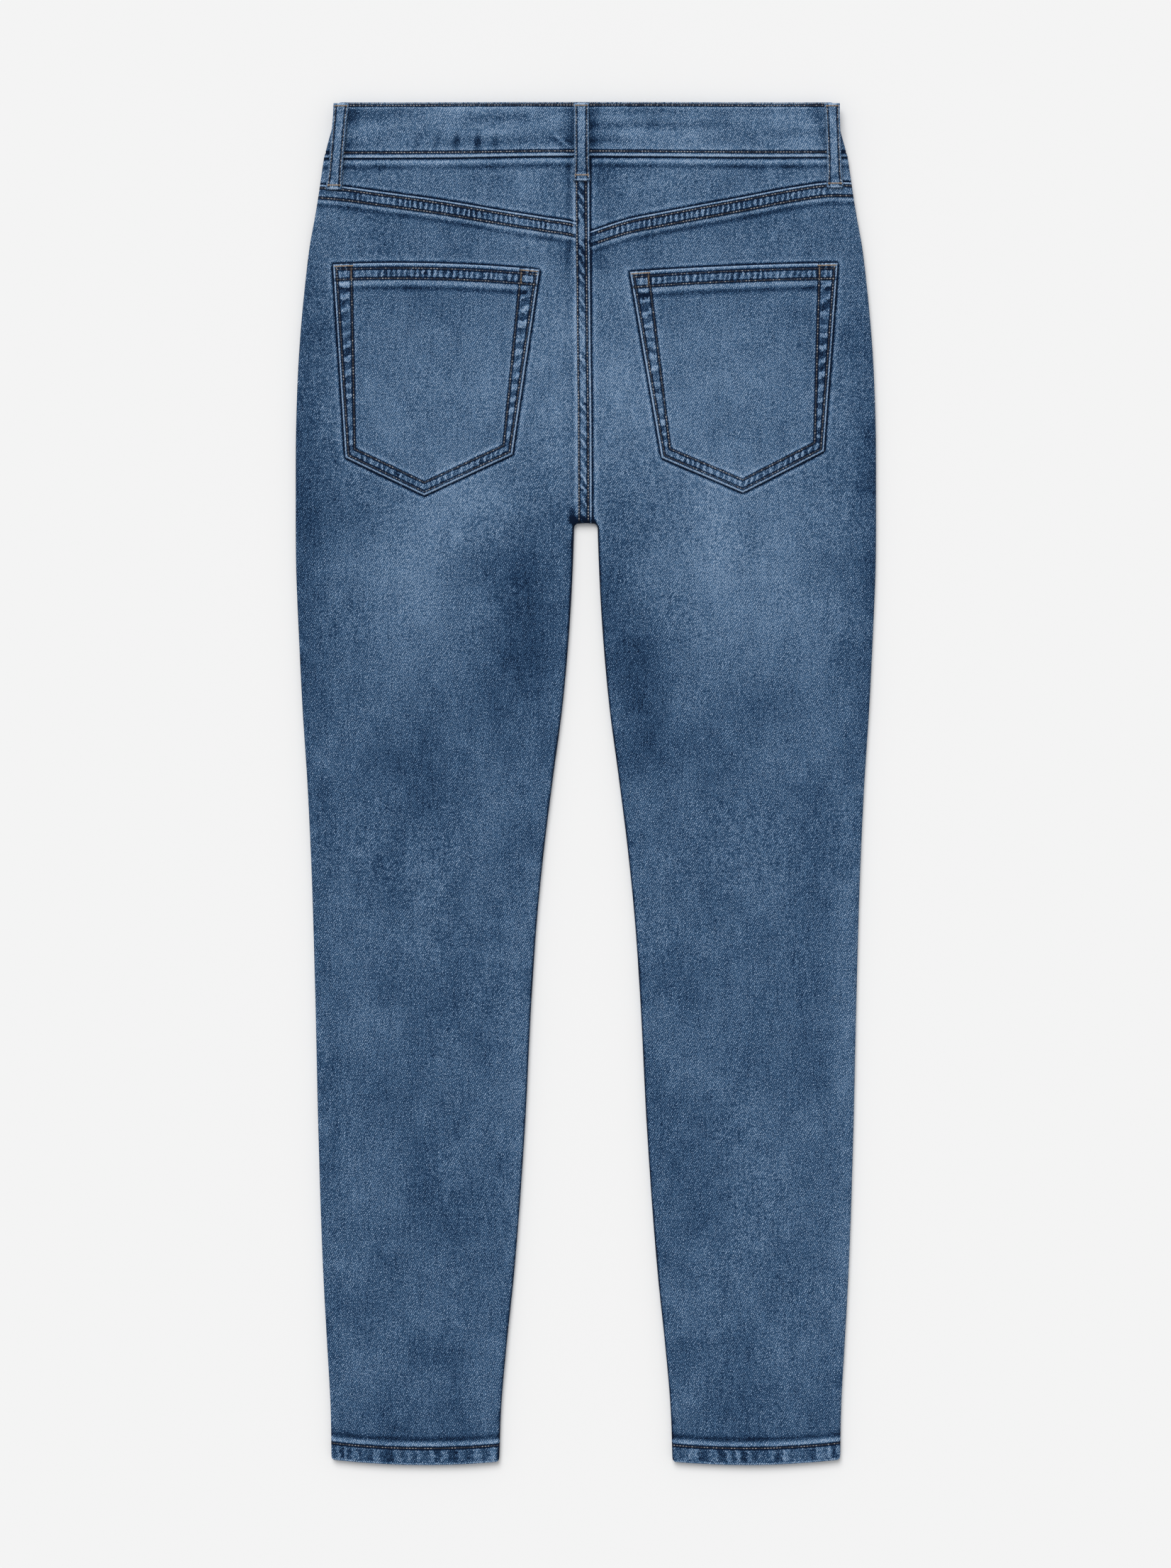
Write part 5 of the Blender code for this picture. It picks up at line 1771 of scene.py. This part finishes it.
def leg_stitches(word, side):
    def surface(x, drop):
        return leg_surface(x, drop, side)

    out = np.arange(9.0, outseam(70.0) - 1.2, 2.0)
    paths = []
    for row in (YOKE.near, YOKE.far):
        path = np.stack([side * out, yoke_seam[side](out) + row], axis=-1)
        paths.append(on_surface(path, surface))
    across = np.linspace(inseam(LENGTH) + 0.8, outseam(LENGTH) - 0.8, 80)
    paths.append(hem_path(side * across, surface))
    return sewing("leg_stitches_" + word, paths, dark_share=0.45)


for word, side in SIDES.items():
    leg_stitches(word, side)
seam_drops = np.linspace(STRIP_TOP + 3.0, CROTCH_DROP - 1.5, 40)
strip_paths = [
    on_surface(np.stack([centre_fold(seam_drops) - row, seam_drops], axis=-1), strip_surface)
    for row in (CENTRE.near, CENTRE.far)
]
sewing("centre_stitches", strip_paths)


# %% Pocket rows
def pocket_stitches(word, side):
    def surface(x, drop):
        return pocket_surface(x, drop, side)

    cut = CUTS[side]
    paths = [[(side * out, drop) for out, drop in row] for row in (cut.first, cut.second)]
    out = np.linspace(cut.points[0][0] + 1.8, cut.points[-1][0] - 1.8, 60)
    for row in POCKET_HEM_ROWS:
        paths.append(np.stack([side * out, pocket_top(side, out) + row], axis=-1))
    paths = [on_surface(path, surface) for path in paths]
    return sewing("pocket_stitches_" + word, paths, dark_share=0.7)


for word, side in SIDES.items():
    pocket_stitches(word, side)


# %% Waistband rows
ROW_HALF = MIDDLE_HALF - 4.5  # a row on the band's face ends before the side's turn
OVERCAST_DEPTH, OVERCAST_PITCH = WAIST_TOP + 0.7, 1.6


def back_row(depth):
    """A row along the band's back, at this depth below its top."""
    x = np.linspace(-ROW_HALF, ROW_HALF, 700)
    z = waistband_face(x) + waistband_relief(x, depth, 0.0 * x).height + 0.1
    wide = x * band_half(depth) / MIDDLE_HALF
    return np.stack([wide, band_drop(wide, depth), z], axis=-1)


def front_row(depth, start, end):
    """A row along the band's front, face down, from start to end."""
    x = np.linspace(start, end, 300)
    dip = FRONT_DIP * (1.0 - (x / MIDDLE_HALF) ** 2)
    return np.stack([x, depth + dip, np.full(len(x), WAISTBAND_UNDER + 0.24)], axis=-1)


def waistband_stitches():
    """The overcast edge and two rows on the back, and two rows on each half of the front."""
    depths = (TOP_ROW, WAISTBAND_DEPTH - LOW_ROW)
    halves = ((BUTTON_END - 1.5, -ROW_HALF), (ROW_HALF, 56.0))
    front_rows = [front_row(depth, *ends) for depth in depths for ends in halves]
    sewing("waistband_stitches", [back_row(depth) for depth in depths], dark_share=0.35)
    overcast = [back_row(OVERCAST_DEPTH)]
    sewing("waistband_edge_stitches", overcast, pitch=OVERCAST_PITCH, worn_and_shaded=False)
    sewing("waistband_front_stitches", front_rows, worn_and_shaded=False, up=-1.0)


waistband_stitches()


# %% Loop rows and front rows
def loop_stitches():
    paths = []
    for number, loop in enumerate(BACK_LOOPS):
        for sign in (-1.0, 1.0):
            part = np.linspace(1.5, loop.length - 1.5, 120) / loop.length
            across = sign * (1.0 - 2.0 * LOOP_ROW / loop_width(loop, part))
            x, drop = loop_place(loop, part, across)
            z = loop_surface(loop, part, across, LOOP_SEED + number) + 0.1
            paths.append(np.stack([x, drop, z], axis=-1))
    return sewing("loop_stitches", paths, dark_share=0.6)


FLY_ROWS = (34.0, 40.0)  # mm from the centre line
FLY_TOP, FLY_TURN, FLY_BEND = 68.0, 150.0, 42.0  # where they start and turn, and how deep


def front_stitches(word, side):
    def surface(x, drop):
        return cloth_points(x, drop, front_relief(x, drop, side).height, DENIM, -1)[0][..., 2]

    paths = []
    for row in SCOOP_ROWS:
        arc = []
        for turn in np.linspace(6.0, 86.0, 40):
            (out, drop), slant = scoop(turn), math.radians(turn)
            arc.append((side * (out - row * math.cos(slant)), drop + row * math.sin(slant)))
        paths.append(on_surface(arc, surface, -0.1))
    across = np.linspace(inseam(LENGTH) + 0.8, outseam(LENGTH) - 0.8, 80)
    paths.append(hem_path(side * across, surface, -0.1))
    if side < 0:
        for row in FLY_ROWS:
            bend = np.linspace(0.1, 1.45, 20)
            curve = [(-row * math.cos(t), FLY_TURN + FLY_BEND * math.sin(t)) for t in bend]
            straight = [(-row, FLY_TOP), (-row, FLY_TURN)]
            paths.append(on_surface(straight + curve, surface, -0.1))
    return sewing("front_stitches_" + word, paths, worn_and_shaded=False, up=-1.0)


TACK_SHAPE = np.array([0.95, 0.62, 0.9])
loop_stitches()
for word, side in SIDES.items():
    front_stitches(word, side)

# %% [markdown]
# ## Bartacks
#
# A bartack is a dense zigzag over two or three laid stitches. Seen close it is a row of
# fine ribs across its length, so it is the same stitch again, turned almost crosswise and
# set half a millimetre apart. The one at a pocket's corner has a darker leg down the row.

# %% Loop and pocket bartacks
TACK_PITCH = 0.5
POCKET_TACK = 14.0
TACK_LEG = 8.0


def bartacks():
    bars, legs = [], []
    for number, loop in enumerate(BACK_LOOPS):
        for end in (2.1, loop.length - loop.tack):
            across = np.linspace(-0.86, 0.86, 30)
            part = np.full(30, end / loop.length)
            x, drop = loop_place(loop, part, across)
            z = loop_surface(loop, part, across, LOOP_SEED + number) + 0.2
            bars.append(np.stack([x, drop, z], axis=-1))
    for side, cut in CUTS.items():

        def surface(x, drop):
            return pocket_surface(x, drop, side)

        for corner, sign, row in ((0, 1.0, 0), (-1, -1.0, -1)):
            out = cut.points[corner][0] + sign * np.linspace(0.9, 0.9 + POCKET_TACK, 12)
            bar = np.stack([side * out, pocket_top(side, out) + 1.7], axis=-1)
            bars.append(on_surface(bar, surface, 0.25))
            high = cut.second[row]
            leg = [(side * high[0], high[1] + 1.2), (side * high[0], high[1] + 1.2 + TACK_LEG)]
            legs.append(on_surface(leg, surface, 0.2))
    sewing("bartacks", bars, bartack_thread, TACK_PITCH, 0.1, worn_and_shaded=False)
    sewing("bartack_legs", legs, bartack_thread, TACK_PITCH, 0.8, worn_and_shaded=False)


bartacks()

# %% [markdown]
# ## Button
#
# A tack button is a stamped cap on a short neck. The cap starts as a cylinder: its face is
# inset for the raised rim, pushed in, inset again and raised to a plain dome, and its edge
# is bevelled. It hangs under the waistband, so its face is on the ground.

# %% The tack button
BUTTON_RADIUS, CAP_THICK, NECK_RADIUS = 8.5, 1.1, 3.0
button_y = LENGTH / 2.0 - FRONT_DIP - WAISTBAND_DEPTH / 2.0
neck_length = WAISTBAND_UNDER - CAP_THICK

bpy.ops.object.select_all(action="DESELECT")
bpy.ops.mesh.primitive_cylinder_add(
    vertices=48,
    radius=BUTTON_RADIUS * MM,
    depth=CAP_THICK * MM,
    location=(0, button_y * MM, CAP_THICK / 2 * MM),
)
button = bpy.context.object
button.name = "tack_button"


def pick_face(side):
    """Selects the button's outermost flat face on this side, and goes back to edit mode."""
    bpy.ops.object.mode_set(mode="OBJECT")
    level = max(side * face.center.z for face in button.data.polygons)
    for part in (button.data.vertices, button.data.edges, button.data.polygons):
        part.foreach_set("select", [False] * len(part))
    for face in button.data.polygons:
        face.select = side * face.normal.z > 0.9 and side * face.center.z > level - 1e-6
    bpy.ops.object.mode_set(mode="EDIT")
    bpy.ops.mesh.select_mode(type="FACE")


pick_face(-1)
bpy.ops.mesh.inset(thickness=1.1 * MM, depth=0)
bpy.ops.mesh.inset(thickness=0.3 * MM, depth=-0.35 * MM)
bpy.ops.mesh.inset(thickness=2.6 * MM, depth=0.12 * MM)
bpy.ops.mesh.inset(thickness=2.4 * MM, depth=0.06 * MM)
pick_face(1)
bpy.ops.mesh.inset(thickness=(BUTTON_RADIUS - NECK_RADIUS) * MM, depth=0)
bpy.ops.mesh.extrude_region_move(TRANSFORM_OT_translate={"value": (0, 0, neck_length * MM)})
bpy.ops.object.mode_set(mode="OBJECT")
edge_bevel = button.modifiers.new("rolled edge", "BEVEL")
edge_bevel.width = 0.12 * MM
edge_bevel.segments = 2
bpy.context.view_layer.objects.active = button
bpy.ops.object.modifier_apply(modifier=edge_bevel.name)
bpy.ops.object.transform_apply(location=True, rotation=True, scale=True)
bpy.ops.object.shade_smooth_by_angle(angle=math.radians(35))
button.data.materials.append(copper)
place_in_frame(button, ["waist_button"])
print("button faces:", len(button.data.polygons))

# %% [markdown]
# ## Floor, light and camera
#
# The photograph is a cut-out on near white, lit softly from all round with a little more
# from the waist end. A pale plane, an even sky and one broad, distant lamp give that, and
# they light the floor evenly. The camera looks straight down from far enough away that
# the flat jeans keep their true outline.

# %% Studio
SKY = 0.5
LAMP = 2.0
LENS, SENSOR = 85.0, 36.0
PHOTO_WIDTH, PHOTO_HEIGHT = 1652, 2213
PIXEL = 0.52083  # mm on the jeans for one pixel of the photograph
CENTRE_PIXEL, TOP_PIXEL = 826.5, 147  # where it shows the centre line and the band's top
FRAME_HEIGHT = PHOTO_HEIGHT * PIXEL * MM
FRAME_X = (PHOTO_WIDTH / 2 - CENTRE_PIXEL) * PIXEL
FRAME_Y = LENGTH / 2 - (PHOTO_HEIGHT / 2 - TOP_PIXEL) * PIXEL

bpy.ops.object.select_all(action="DESELECT")
bpy.ops.mesh.primitive_plane_add(size=12.0, location=(0, 0, -0.0002))
floor = bpy.context.object
floor.name = "studio_floor"
paper, _, paper_shader = new_material("matt_white_paper")
paper_shader.inputs["Base Color"].default_value = linear("#f4f4f4")
paper_shader.inputs["Roughness"].default_value = 1.0
paper_shader.inputs["Specular IOR Level"].default_value = 0.0
floor.data.materials.append(paper)

world = bpy.data.worlds.new("soft_sky")
bpy.context.scene.world = world
world.use_nodes = True
world.node_tree.nodes["Background"].inputs["Color"].default_value = linear("#ffffff")
world.node_tree.nodes["Background"].inputs["Strength"].default_value = SKY

lamp_data = bpy.data.lights.new("broad_lamp", "SUN")
lamp_data.energy = LAMP
lamp_data.angle = math.radians(40)
lamp = bpy.data.objects.new("broad_lamp", lamp_data)
lamp.rotation_euler = Vector((-0.25, 0.75, 1.0)).to_track_quat("Z", "Y").to_euler()
bpy.context.scene.collection.objects.link(lamp)

distance = FRAME_HEIGHT * LENS / SENSOR
camera_data = bpy.data.cameras.new("camera")
camera_data.lens, camera_data.sensor_width = LENS, SENSOR
camera = bpy.data.objects.new("camera", camera_data)
camera.location = (FRAME_X * MM, FRAME_Y * MM, distance + 4 * MM)
bpy.context.scene.collection.objects.link(camera)
bpy.context.scene.camera = camera
# The colours above are those of the photograph, so the picture shows them as they are.
bpy.context.scene.view_settings.view_transform = "Standard"
print("camera height:", round(distance, 3), "m")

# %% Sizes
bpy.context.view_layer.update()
triangles = sum(len(face.vertices) - 2 for made in pieces_made for face in made.data.polygons)
print("triangles in all:", triangles)
